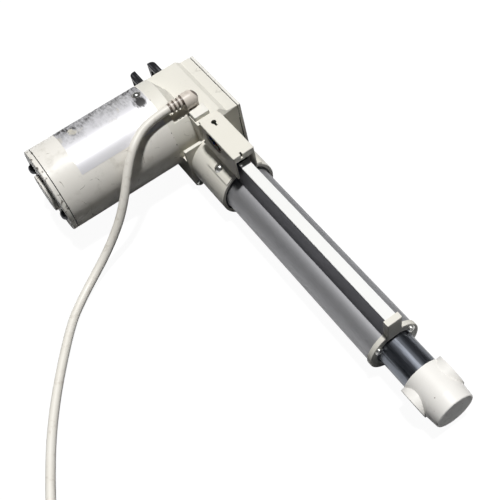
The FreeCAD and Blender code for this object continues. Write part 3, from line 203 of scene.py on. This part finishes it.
# %% Sprayed paint
def sprayed(name, tone, shade, rough, worn):
    material, tree, shader, place = start_finish(name, Specular_IOR_Level=0.36)
    cloud = add(tree, "ShaderNodeTexNoise", {"Vector": place, "Scale": per_metre(38), "Detail": 2.0})
    tint = add(tree, "ShaderNodeMix", {"Factor": cloud.outputs["Fac"], "A": paint(tone), "B": paint(shade)},
               data_type="RGBA")
    tree.links.new(tint.outputs["Result"], shader.inputs["Base Color"])
    smudge = add(tree, "ShaderNodeTexNoise", {"Vector": place, "Scale": per_metre(11), "Detail": 5.0,
                                              "Roughness": 0.6})
    film = add(tree, "ShaderNodeMapRange", {"Value": smudge.outputs["Fac"], "From Min": 0.55,
                                            "From Max": 0.80, "To Max": 0.5 * worn})
    stain(tree, shader, film.outputs[0], "#A69F90")
    wide = add(tree, "ShaderNodeTexNoise", {"Vector": place, "Scale": per_metre(34), "Detail": 1.5})
    off = add(tree, "ShaderNodeMath", {0: wide.outputs["Fac"], 1: 0.5}, operation="SUBTRACT")
    near = add(tree, "ShaderNodeMath", {0: off.outputs[0]}, operation="ABSOLUTE")
    hair = add(tree, "ShaderNodeMapRange", {"Value": near.outputs[0], "From Min": 0.006, "From Max": 0.001})
    broken = add(tree, "ShaderNodeTexNoise", {"Vector": place, "Scale": per_metre(6), "Detail": 4.0})
    pieces = add(tree, "ShaderNodeMapRange", {"Value": broken.outputs["Fac"], "From Min": 0.52,
                                              "From Max": 0.62, "To Max": worn})
    scratch = add(tree, "ShaderNodeMath", {0: hair.outputs[0], 1: pieces.outputs[0]}, operation="MULTIPLY")
    stain(tree, shader, scratch.outputs[0], "#7E786C")
    gloss = add(tree, "ShaderNodeMapRange", {"Value": smudge.outputs["Fac"], "From Min": 0.3, "From Max": 0.8,
                                             "To Min": rough, "To Max": rough + 0.2})
    tree.links.new(gloss.outputs[0], shader.inputs["Roughness"])
    peel = add(tree, "ShaderNodeTexNoise", {"Vector": place, "Scale": per_metre(1.1), "Detail": 1.0})
    bump = add(tree, "ShaderNodeBump", {"Height": peel.outputs["Fac"], "Strength": 0.06,
                                        "Distance": 0.3 * MM})
    tree.links.new(bump.outputs[0], shader.inputs["Normal"])
    return material, tree, shader, place


finishes["cream_paint"] = sprayed("cream enamel on cast aluminium", "#E9E6DC", "#E2DFD4", 0.42, 0.25)[0]
finishes["cover_paint"] = sprayed("cream enamel on sheet", "#F0EEE7", "#E9E6DD", 0.42, 0.35)[0]
print("paints:", sorted(finishes))

# %% [markdown]
# ## Motor tube
#
# The motor has the same enamel, but its rims are chipped down to the dark primer, where it was knocked
# about. The chips are a fine noise that is let through only near the two ends of the tube, so they follow
# the rims and reach over the end cap. A dark ring round the screw on top is grime together with painted
# shade at the rim of the screw's head; it is a distance from one point.

# %% Motor paint
material, tree, shader, place = sprayed("cream enamel on steel tube", "#F2EFE8", "#EBE7DE", 0.34, 0.8)
axes = add(tree, "ShaderNodeSeparateXYZ", {0: place})
rear_rim = add(tree, "ShaderNodeMapRange", {"Value": axes.outputs[1], "From Min": (MOTOR_REAR_Y + 8) * MM,
                                            "From Max": MOTOR_REAR_Y * MM})
front_rim = add(tree, "ShaderNodeMapRange", {"Value": axes.outputs[1], "From Min": (MOTOR_FRONT_Y - 7) * MM,
                                             "From Max": MOTOR_FRONT_Y * MM})
rims = add(tree, "ShaderNodeMath", {0: rear_rim.outputs[0], 1: front_rim.outputs[0]}, operation="MAXIMUM")
crumbs = add(tree, "ShaderNodeTexNoise", {"Vector": place, "Scale": per_metre(4.5), "Detail": 5.0,
                                          "Roughness": 0.6})
chip = add(tree, "ShaderNodeMath", {0: crumbs.outputs["Fac"], 1: rims.outputs[0]}, operation="MULTIPLY")
chips = add(tree, "ShaderNodeMapRange", {"Value": chip.outputs[0], "From Min": 0.57, "From Max": 0.61,
                                         "To Max": 0.85})
stain(tree, shader, chips.outputs[0], "#51493E")
# Dark ring at the rim of the screw head: grime, and painted shade where the head meets the tube.
seat = add(tree, "ShaderNodeVectorMath", {0: place, 1: TUBE_SCREW * MM}, operation="DISTANCE")
ring = add(tree, "ShaderNodeMapRange", {"Value": seat.outputs["Value"], "From Min": 5.4 * MM,
                                        "From Max": 4.2 * MM, "To Max": 0.85})
stain(tree, shader, ring.outputs[0], "#3A352E")
finishes["motor_paint"] = material
print("motor paint:", material.name)

# %% [markdown]
# ## Bare foil label
#
# A silvery foil is stuck round the motor. Its print is left off, and its wear stays: the rear edge is
# rubbed to a dark streaky grey, and grease has run down from the screw. Such wear follows the foil, so its
# place is unrolled: the angle round the motor's axis times the radius is one coordinate, and the station
# along the motor the other. Down the far side of the motor the rubbing fades.

# %% Label
material, tree, shader, place = start_finish("printed foil, bare and rubbed", Metallic=0.25)
centred = add(tree, "ShaderNodeMapping", {"Vector": place, "Location": (-MOTOR_X * MM, 0, -MOTOR_Z * MM)})
axes = add(tree, "ShaderNodeSeparateXYZ", {0: centred.outputs[0]})
angle = add(tree, "ShaderNodeMath", {0: axes.outputs[0], 1: axes.outputs[2]}, operation="ARCTAN2")
girth = add(tree, "ShaderNodeMath", {0: angle.outputs[0], 1: LABEL_R * MM}, operation="MULTIPLY")
unrolled = add(tree, "ShaderNodeCombineXYZ", {0: girth.outputs[0], 1: axes.outputs[1]}).outputs[0]
sheen = add(tree, "ShaderNodeTexNoise", {"Vector": unrolled, "Scale": per_metre(25), "Detail": 2.0})
tint = add(tree, "ShaderNodeMix", {"Factor": sheen.outputs["Fac"], "A": paint("#F3F2F3"),
                                   "B": paint("#E4E3E8")}, data_type="RGBA")
tree.links.new(tint.outputs["Result"], shader.inputs["Base Color"])
patch = add(tree, "ShaderNodeTexNoise", {"Vector": unrolled, "Scale": per_metre(13), "Detail": 5.0,
                                         "Roughness": 0.62})
stretch = add(tree, "ShaderNodeMapping", {"Vector": unrolled, "Rotation": (0, 0, 0.35),
                                          "Scale": (0.30, 1.0, 1.0)})
streak = add(tree, "ShaderNodeTexNoise", {"Vector": stretch.outputs[0], "Scale": per_metre(2.3),
                                          "Detail": 6.0, "Roughness": 0.68})
ragged = add(tree, "ShaderNodeMath", {0: patch.outputs["Fac"], 1: 44 * MM, 2: girth.outputs[0]},
             operation="MULTIPLY_ADD")
rubbed = add(tree, "ShaderNodeMapRange", {"Value": ragged.outputs[0], "From Min": 26 * MM, "From Max": 3 * MM,
                                         "To Max": 1.3})
lines = add(tree, "ShaderNodeMapRange", {"Value": streak.outputs["Fac"], "From Min": 0.34, "From Max": 0.60,
                                         "To Min": 0.15, "To Max": 1.0})
field = add(tree, "ShaderNodeTexNoise", {"Vector": unrolled, "Scale": per_metre(30), "Detail": 2.0})
spread = add(tree, "ShaderNodeMapRange", {"Value": field.outputs["Fac"], "From Min": 0.38, "From Max": 0.60,
                                          "To Min": 0.60, "To Max": 1.0})
thinned = add(tree, "ShaderNodeMath", {0: lines.outputs[0], 1: spread.outputs[0]}, operation="MULTIPLY")
worn = add(tree, "ShaderNodeMath", {0: rubbed.outputs[0], 1: thinned.outputs[0]}, operation="MULTIPLY")
reach = add(tree, "ShaderNodeMapRange", {"Value": girth.outputs[0], "From Min": -46 * MM,
                                         "From Max": -28 * MM, "To Min": 0.25, "To Max": 1.0})
wear = add(tree, "ShaderNodeMath", {0: worn.outputs[0], 1: reach.outputs[0]}, operation="MULTIPLY")
stain(tree, shader, wear.outputs[0], "#2C2B2A")
bald = add(tree, "ShaderNodeTexNoise", {"Vector": unrolled, "Scale": per_metre(17), "Detail": 4.0})
torn = add(tree, "ShaderNodeMapRange", {"Value": bald.outputs["Fac"], "From Min": 0.60, "From Max": 0.63})
peeled = add(tree, "ShaderNodeMath", {0: torn.outputs[0], 1: rubbed.outputs[0]}, operation="MULTIPLY")
stain(tree, shader, peeled.outputs[0], "#DCD7CA")
run = add(tree, "ShaderNodeMapping", {"Vector": unrolled, "Location": (-2.6 * MM, 37.4 * MM, 0)})
spot = add(tree, "ShaderNodeMapping", {"Vector": run.outputs[0],
                                       "Scale": (1 / (11.0 * MM), 1 / (6.4 * MM), 1)})
away = add(tree, "ShaderNodeVectorMath", {0: spot.outputs[0]}, operation="LENGTH")
blot = add(tree, "ShaderNodeTexNoise", {"Vector": stretch.outputs[0], "Scale": per_metre(3.0),
                                        "Detail": 6.0, "Roughness": 0.7})
drip = add(tree, "ShaderNodeMath", {0: blot.outputs["Fac"], 1: -1.8, 2: away.outputs["Value"]},
           operation="MULTIPLY_ADD")
grease = add(tree, "ShaderNodeMapRange", {"Value": drip.outputs[0], "From Min": 0.05, "From Max": -0.40,
                                          "To Max": 0.94})
stain(tree, shader, grease.outputs[0], "#211F1E")
dull = add(tree, "ShaderNodeMapRange", {"Value": wear.outputs[0], "To Min": 0.40, "To Max": 0.65})
tree.links.new(dull.outputs[0], shader.inputs["Roughness"])
finishes["label_foil"] = material
print("label:", material.name)

# %% [markdown]
# ## Moulded and extruded plastics
#
# A moulded part carries the fine spark-eroded grain of its mould, a little under a millimetre, and collects
# a faint film of dust. The same build serves every plain plastic here, with its own colour, grain and
# gloss.

# %% Plastics
def moulded(name, tone, shade, rough, grain_mm, depth):
    material, tree, shader, place = start_finish(name, Specular_IOR_Level=0.4)
    film = add(tree, "ShaderNodeTexNoise", {"Vector": place, "Scale": per_metre(14), "Detail": 4.0})
    tint = add(tree, "ShaderNodeMix", {"Factor": film.outputs["Fac"], "A": paint(tone), "B": paint(shade)},
               data_type="RGBA")
    tree.links.new(tint.outputs["Result"], shader.inputs["Base Color"])
    gloss = add(tree, "ShaderNodeMapRange", {"Value": film.outputs["Fac"], "To Min": rough - 0.06,
                                             "To Max": rough + 0.08})
    tree.links.new(gloss.outputs[0], shader.inputs["Roughness"])
    grain = add(tree, "ShaderNodeTexNoise", {"Vector": place, "Scale": per_metre(grain_mm), "Detail": 2.0})
    bump = add(tree, "ShaderNodeBump", {"Height": grain.outputs["Fac"], "Strength": depth,
                                        "Distance": 0.2 * MM})
    tree.links.new(bump.outputs[0], shader.inputs["Normal"])
    return material, tree, shader, place


finishes["black_rubber"] = moulded("nitrile rubber, black", "#161616", "#242424", 0.62, 0.6, 0.15)[0]
finishes["carbon"] = moulded("pressed carbon", "#232325", "#313133", 0.58, 0.4, 0.20)[0]
finishes["phenolic"] = moulded("phenolic moulding", "#4A3324", "#573E2D", 0.48, 0.7, 0.10)[0]
finishes["wheel_acetal"] = moulded("acetal, natural", "#E6E4DC", "#DDDAD0", 0.38, 0.7, 0.06)[0]
finishes["strip_white"] = moulded("extruded PVC strip, white", "#F5F5F3", "#EFEFEC", 0.34, 1.2, 0.04)[0]
finishes["strip_grey"] = moulded("ABS end piece, grey", "#C9C9C8", "#B9B9BA", 0.46, 0.8, 0.15)[0]
finishes["board"] = moulded("lacquered glass laminate", "#22482F", "#1B3D27", 0.35, 0.8, 0.10)[0]
finishes["box_plastic"] = moulded("ABS box, cream", "#EDEADF", "#E6E2D6", 0.48, 0.8, 0.08)[0]
finishes["guide_plastic"] = moulded("acetal, black", "#1E1E20", "#29292B", 0.40, 0.7, 0.08)[0]
finishes["magnet"] = moulded("sintered ferrite", "#38383B", "#434347", 0.60, 0.5, 0.25)[0]
print("finishes so far:", len(finishes))

# %% [markdown]
# ## Plastics that show their use
#
# The fork has grey streaks along its length: rubbed wear, with painted sheen on the black nylon. The eye
# has small specks of dirt: a Voronoi texture gives evenly strewn points, and only those cells whose random
# colour is high keep theirs. Plug and cord are soft PVC that holds brown dirt, on the plug on top, where
# hands pull it. Between the plug's ribs the dark brown is dirt and painted shade in the grooves.

# %% Fork
material, tree, shader, place = moulded("glass-filled nylon, black", "#151517", "#29292C", 0.36, 0.9, 0.30)
along = add(tree, "ShaderNodeMapping", {"Vector": place, "Scale": (0.12, 1.0, 0.5)})
rub = add(tree, "ShaderNodeTexNoise", {"Vector": along.outputs[0], "Scale": per_metre(2.6), "Detail": 4.0})
streaks_and_sheen = add(tree, "ShaderNodeMapRange", {"Value": rub.outputs["Fac"], "From Min": 0.54, "From Max": 0.72,
                                           "To Max": 0.8})
# Grey streaks: rubbed wear, and painted sheen that stands in for the ears' reflections.
stain(tree, shader, streaks_and_sheen.outputs[0], "#6E6E72")
finishes["black_fork"] = material

# %% Eye
material, tree, shader, place = moulded("acetal eye, white", "#F6F4EF", "#EFECE6", 0.44, 0.9, 0.08)
strewn = add(tree, "ShaderNodeTexVoronoi", {"Vector": place, "Scale": per_metre(6.5)})
speck = add(tree, "ShaderNodeMapRange", {"Value": strewn.outputs["Distance"], "From Min": 0.10,
                                         "From Max": 0.05})
some = add(tree, "ShaderNodeMapRange", {"Value": strewn.outputs["Color"], "From Min": 0.58, "From Max": 0.62,
                                        "To Max": 0.8})
specks = add(tree, "ShaderNodeMath", {0: speck.outputs[0], 1: some.outputs[0]}, operation="MULTIPLY")
stain(tree, shader, specks.outputs[0], "#75695B")
finishes["eye_white"] = material

# %% Plug
material, tree, shader, place = moulded("PVC plug, cream", "#E4DBD0", "#D6CCC0", 0.36, 1.0, 0.10)
centred = add(tree, "ShaderNodeMapping", {"Vector": place, "Location": (-PLUG_X * MM, 0, -PLUG_Z * MM),
                                          "Scale": (1, 0, 1)})
out = add(tree, "ShaderNodeVectorMath", {0: centred.outputs[0]}, operation="LENGTH")
groove_dirt_and_shade = add(tree, "ShaderNodeMapRange", {"Value": out.outputs["Value"], "From Min": 4.50 * MM,
                                          "From Max": 4.2 * MM, "To Max": 0.85})
# Dark brown in the grooves between the ribs: dirt, and painted shade.
stain(tree, shader, groove_dirt_and_shade.outputs[0], "#4C3B30")
axes = add(tree, "ShaderNodeSeparateXYZ", {0: place})
high = add(tree, "ShaderNodeMapRange", {"Value": axes.outputs[2], "From Min": 56 * MM, "From Max": 63 * MM})
grime = add(tree, "ShaderNodeTexNoise", {"Vector": place, "Scale": per_metre(3.4), "Detail": 5.0,
                                         "Roughness": 0.65})
held = add(tree, "ShaderNodeMath", {0: grime.outputs["Fac"], 1: 0.24, 2: high.outputs[0]},
           operation="MULTIPLY_ADD")
dirt = add(tree, "ShaderNodeMapRange", {"Value": held.outputs[0], "From Min": 0.92, "From Max": 1.16,
                                        "To Max": 0.7})
stain(tree, shader, dirt.outputs[0], "#5A4636")
finishes["plug_cream"] = material

# %% Cord sheath
material, tree, shader, place = moulded("PVC sheath, cream", "#F1EEE6", "#E8E3D8", 0.42, 1.4, 0.05)
hands = add(tree, "ShaderNodeTexNoise", {"Vector": place, "Scale": per_metre(7), "Detail": 5.0,
                                         "Roughness": 0.65})
dirt = add(tree, "ShaderNodeMapRange", {"Value": hands.outputs["Fac"], "From Min": 0.56, "From Max": 0.78,
                                        "To Max": 0.55})
stain(tree, shader, dirt.outputs[0], "#A79B8B")
finishes["cord_cream"] = material
print("worn plastics done, finishes:", len(finishes))

# %% [markdown]
# ## Metals
#
# Screws are zinc plated, bearings ground, the spindle rolled. Turning and grinding leave fine lines, so a
# metal here has a streaky noise in its roughness. A metal keeps the default IOR, and its colour is its
# reflection. The profile is satin anodised: a rough metal, so the lamp's reflection spreads into the soft
# bright band beside the channel. The channel's flanks get a dark film of colour. This is painted shade: it
# stands in for the shade that falls on them.

# %% Metals
def machined(name, tone, shade, rough, line_mm):
    material, tree, shader, place = start_finish(name, Metallic=1.0)
    turn = add(tree, "ShaderNodeMapping", {"Vector": place, "Scale": (0.08, 1.0, 1.0)})
    lines = add(tree, "ShaderNodeTexNoise", {"Vector": turn.outputs[0], "Scale": per_metre(line_mm),
                                             "Detail": 3.0})
    tint = add(tree, "ShaderNodeMix", {"Factor": lines.outputs["Fac"], "A": paint(tone), "B": paint(shade)},
               data_type="RGBA")
    tree.links.new(tint.outputs["Result"], shader.inputs["Base Color"])
    gloss = add(tree, "ShaderNodeMapRange", {"Value": lines.outputs["Fac"], "To Min": rough - 0.08,
                                             "To Max": rough + 0.12})
    tree.links.new(gloss.outputs[0], shader.inputs["Roughness"])
    return material, tree, shader, place


finishes["zinc_steel"] = machined("zinc plated steel", "#DADAD6", "#BDBDB9", 0.32, 0.6)[0]
finishes["black_steel"] = machined("blackened steel", "#55565A", "#3E3F42", 0.36, 0.6)[0]
finishes["bearing_steel"] = machined("ground bearing steel", "#C4C4C4", "#B2B2B2", 0.22, 0.5)[0]
finishes["core_iron"] = machined("stacked core sheet", "#77777A", "#636366", 0.50, 0.5)[0]
finishes["copper"] = machined("enamelled copper wire", "#B8683A", "#A2562C", 0.34, 0.6)[0]
finishes["spindle_steel"] = machined("rolled spindle steel", "#B4B4B6", "#9E9EA0", 0.30, 0.5)[0]
finishes["nut_bronze"] = machined("turned bronze", "#BE9350", "#A97F40", 0.34, 0.5)[0]
material, tree, shader, place = machined("satin anodised aluminium", "#ACACAE", "#A0A0A2", 0.56, 0.9)
shader.inputs["Metallic"].default_value = 0.75
axes = add(tree, "ShaderNodeSeparateXYZ", {0: place})
off_middle = add(tree, "ShaderNodeMath", {0: axes.outputs[1]}, operation="ABSOLUTE")
flank_shade_mask = add(tree, "ShaderNodeMapRange", {"Value": off_middle.outputs[0], "From Min": 7.3 * MM,
                                         "From Max": 7.1 * MM})
above = add(tree, "ShaderNodeMapRange", {"Value": axes.outputs[2], "From Min": 15 * MM, "From Max": 16 * MM,
                                         "To Max": 0.9})
film = add(tree, "ShaderNodeMath", {0: flank_shade_mask.outputs[0], 1: above.outputs[0]}, operation="MULTIPLY")
# Painted shade: the channel's flanks above the shoulders are darkened to stand in for their shade.
stain(tree, shader, film.outputs[0], "#55555A")
finishes["anodised"] = material

# %% Chromed rod
material, tree, shader, place = machined("hard chrome, oily", "#82868E", "#6C7077", 0.31, 0.7)
along = add(tree, "ShaderNodeMapping", {"Vector": place, "Scale": (0.06, 1.0, 1.0)})
film = add(tree, "ShaderNodeTexNoise", {"Vector": along.outputs[0], "Scale": per_metre(3.2), "Detail": 3.0})
oil = add(tree, "ShaderNodeMapRange", {"Value": film.outputs["Fac"], "From Min": 0.48, "From Max": 0.64,
                                       "To Max": 0.7})
stain(tree, shader, oil.outputs[0], "#33363B")
finishes["chrome_rod"] = material
print("all finishes:", len(finishes))

# %% [markdown]
# ## Finishes onto the CAD nodes
#
# The record names a material slot for each node, so one loop gives every node its finish.

# %% Assign the finishes
for part in frame["record"]["subparts"]:
    mesh = nodes[part["node"]].data
    mesh.materials.clear()
    mesh.materials.append(finishes[part["material_slot"]])
nodes["badge_plate"].data.materials[0] = finishes["cover_paint"]
mains_cord.data.materials.append(finishes["cord_cream"])

# %% [markdown]
# ## Bolt heads at the motor's end
#
# Two long bolts hold the motor together. Their heads are low and round, and shine at the edge. A cylinder
# would look cut off, so half of the bolt's outline, from the top of the dome down to the tip, is spun once
# round its own axis.

# %% Tie bolts
BOLT_OUT_X, BOLT_OUT_Z = 27.77, 4.90
bm = bmesh.new()
half_bolt = [(0.0, -145.4), (1.6, -145.3), (3.0, -144.8), (4.0, -143.9), (4.5, -142.8), (4.5, -142.2),
             (5.3, -142.2), (5.3, -141.5), (2.5, -141.5), (2.5, -24.5), (2.0, -24.0), (0.0, -24.0)]
for side in (1, -1):
    x, z = MOTOR_X + side * BOLT_OUT_X, MOTOR_Z - side * BOLT_OUT_Z
    corners = [bm.verts.new(Vector((x + r, y, z)) * MM) for r, y in half_bolt]
    outline = [bm.edges.new(pair) for pair in zip(corners, corners[1:])]
    bmesh.ops.spin(bm, geom=corners + outline, cent=Vector((x, 0, z)) * MM, axis=(0, 1, 0), angle=2 * math.pi,
                   steps=32, use_merge=True)
bmesh.ops.remove_doubles(bm, verts=bm.verts, dist=0.001 * MM)
bmesh.ops.recalc_face_normals(bm, faces=bm.faces)
mesh = bpy.data.meshes.new("motor_tie_bolts")
bm.to_mesh(mesh)
bm.free()
mesh.shade_smooth()
mesh.set_sharp_from_angle(angle=math.radians(40))
mesh.materials.append(finishes["black_steel"])
motor_tie_bolts = bpy.data.objects.new("motor_tie_bolts", mesh)
bpy.context.scene.collection.objects.link(motor_tie_bolts)
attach(motor_tie_bolts, "case")
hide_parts("tie_bolts")
print("bolt faces:", len(mesh.polygons))

# %% [markdown]
# ## Leads in the switch box
#
# Through the oval window of the switch box, short bights of the blue and brown leads show, where they go
# from one terminal to the next. Each starts as a small circle on the terminals' side, is drawn out
# straight, spun by half a turn and drawn back to the terminals.

# %% Leads
LEAD_R, BIGHT_R = 0.6, 1.45
TERMINALS_Y, BEND_Y = -4.4, -8.0


def draw_out(bm, rim, to_y):
    drawn = bmesh.ops.extrude_edge_only(bm, edges=rim)["geom"]
    ends = [item for item in drawn if isinstance(item, bmesh.types.BMVert)]
    for vert in ends:
        vert.co.y = to_y
    return ends, [item for item in drawn if isinstance(item, bmesh.types.BMEdge) and item.is_boundary]


for name, code, places in (("blue_leads", "#27418C", ((143.2, 47.2), (147.4, 44.4))),
                           ("brown_leads", "#6B3A22", ((151.6, 46.6), (155.8, 44.0)))):
    bm = bmesh.new()
    for x, z in places:
        upright = Matrix.Rotation(math.pi / 2, 4, "X")
        start = Matrix.Translation(Vector((x + BIGHT_R, TERMINALS_Y, z)) * MM) @ upright
        ring = bmesh.ops.create_circle(bm, segments=12, radius=LEAD_R * MM, matrix=start)["verts"]
        rim = list({edge for vert in ring for edge in vert.link_edges})
        ends, rim = draw_out(bm, rim, BEND_Y * MM)
        turned = bmesh.ops.spin(bm, geom=ends + rim, cent=Vector((x, BEND_Y, z)) * MM, axis=(0, 0, -1),
                                angle=math.pi, steps=12)["geom_last"]
        draw_out(bm, [item for item in turned if isinstance(item, bmesh.types.BMEdge)], TERMINALS_Y * MM)
    bmesh.ops.recalc_face_normals(bm, faces=bm.faces)
    mesh = bpy.data.meshes.new(name)
    bm.to_mesh(mesh)
    bm.free()
    mesh.shade_smooth()
    mesh.materials.append(moulded("PVC insulation, " + name.split("_")[0], code, code, 0.36, 0.8, 0.05)[0])
    leads = bpy.data.objects.new(name, mesh)
    bpy.context.scene.collection.objects.link(leads)
    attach(leads, "case")
    print(name, "faces:", len(mesh.polygons))

# %% [markdown]
# ## Floor and light
#
# The photograph is cut out on white, lit by one sun-like lamp almost straight overhead, with a weak bluish
# fill. The floor shows white to the camera and in reflections and keeps a faint shadow. Its bounce is kept
# low, because the undersides in the photograph are dark. A low wall of the same paper stands far round the
# floor, so that views from near the ground end on white too.

# %% Floor
FLOOR_HALF, WALL_R, WALL_HEIGHT = 6.0, 5.5, 2.0
bm = bmesh.new()
bmesh.ops.create_grid(bm, x_segments=1, y_segments=1, size=FLOOR_HALF)
bmesh.ops.create_cone(bm, cap_ends=False, segments=64, radius1=WALL_R, radius2=WALL_R, depth=2 * WALL_HEIGHT)
bmesh.ops.translate(bm, verts=bm.verts, vec=(0.2, -0.1, FLOOR_Z))
floor_mesh = bpy.data.meshes.new("floor")
bm.to_mesh(floor_mesh)
bm.free()
floor = bpy.data.objects.new("floor", floor_mesh)
bpy.context.scene.collection.objects.link(floor)
paper = bpy.data.materials.new("white paper floor")
paper.use_nodes = True
tree = paper.node_tree
tree.nodes.clear()
path = add(tree, "ShaderNodeLightPath")
mirrored = add(tree, "ShaderNodeMath",
               {0: path.outputs["Is Glossy Ray"], 1: path.outputs["Is Transmission Ray"]},
               operation="MAXIMUM")
bounce = add(tree, "ShaderNodeBsdfDiffuse", {"Color": paint("#262626")})
shaded = add(tree, "ShaderNodeBsdfDiffuse", {"Color": paint("#EDEDED")})
glow = add(tree, "ShaderNodeEmission", {"Color": (1, 1, 1, 1), "Strength": 1.06})
sheet = add(tree, "ShaderNodeMixShader", {0: 0.10, 1: glow.outputs[0], 2: shaded.outputs[0]})
lit = add(tree, "ShaderNodeMixShader", {0: mirrored.outputs[0], 1: bounce.outputs[0], 2: shaded.outputs[0]})
mixed = add(tree, "ShaderNodeMixShader", {0: path.outputs["Is Camera Ray"], 1: lit.outputs[0],
                                          2: sheet.outputs[0]})
add(tree, "ShaderNodeOutputMaterial", {"Surface": mixed.outputs[0]})
floor_mesh.materials.append(paper)
print("floor at", FLOOR_Z)

# %% Lamps and world
sun = bpy.data.objects.new("key_lamp", bpy.data.lights.new("key_lamp", "SUN"))
bpy.context.scene.collection.objects.link(sun)
sun.data.energy = 3.3
sun.data.angle = math.radians(5.0)
towards_sun = Vector((0.01, 0.10, 0.99))
sun.rotation_euler = towards_sun.to_track_quat("Z", "Y").to_euler()
world = bpy.data.worlds.new("studio")
bpy.context.scene.world = world
world.use_nodes = True
tree = world.node_tree
tree.nodes.clear()
fill = add(tree, "ShaderNodeBackground", {"Color": paint("#E2EAF6"), "Strength": 0.05})
add(tree, "ShaderNodeOutputWorld", {"Surface": fill.outputs[0]})
bpy.context.scene.view_settings.view_transform = "Standard"
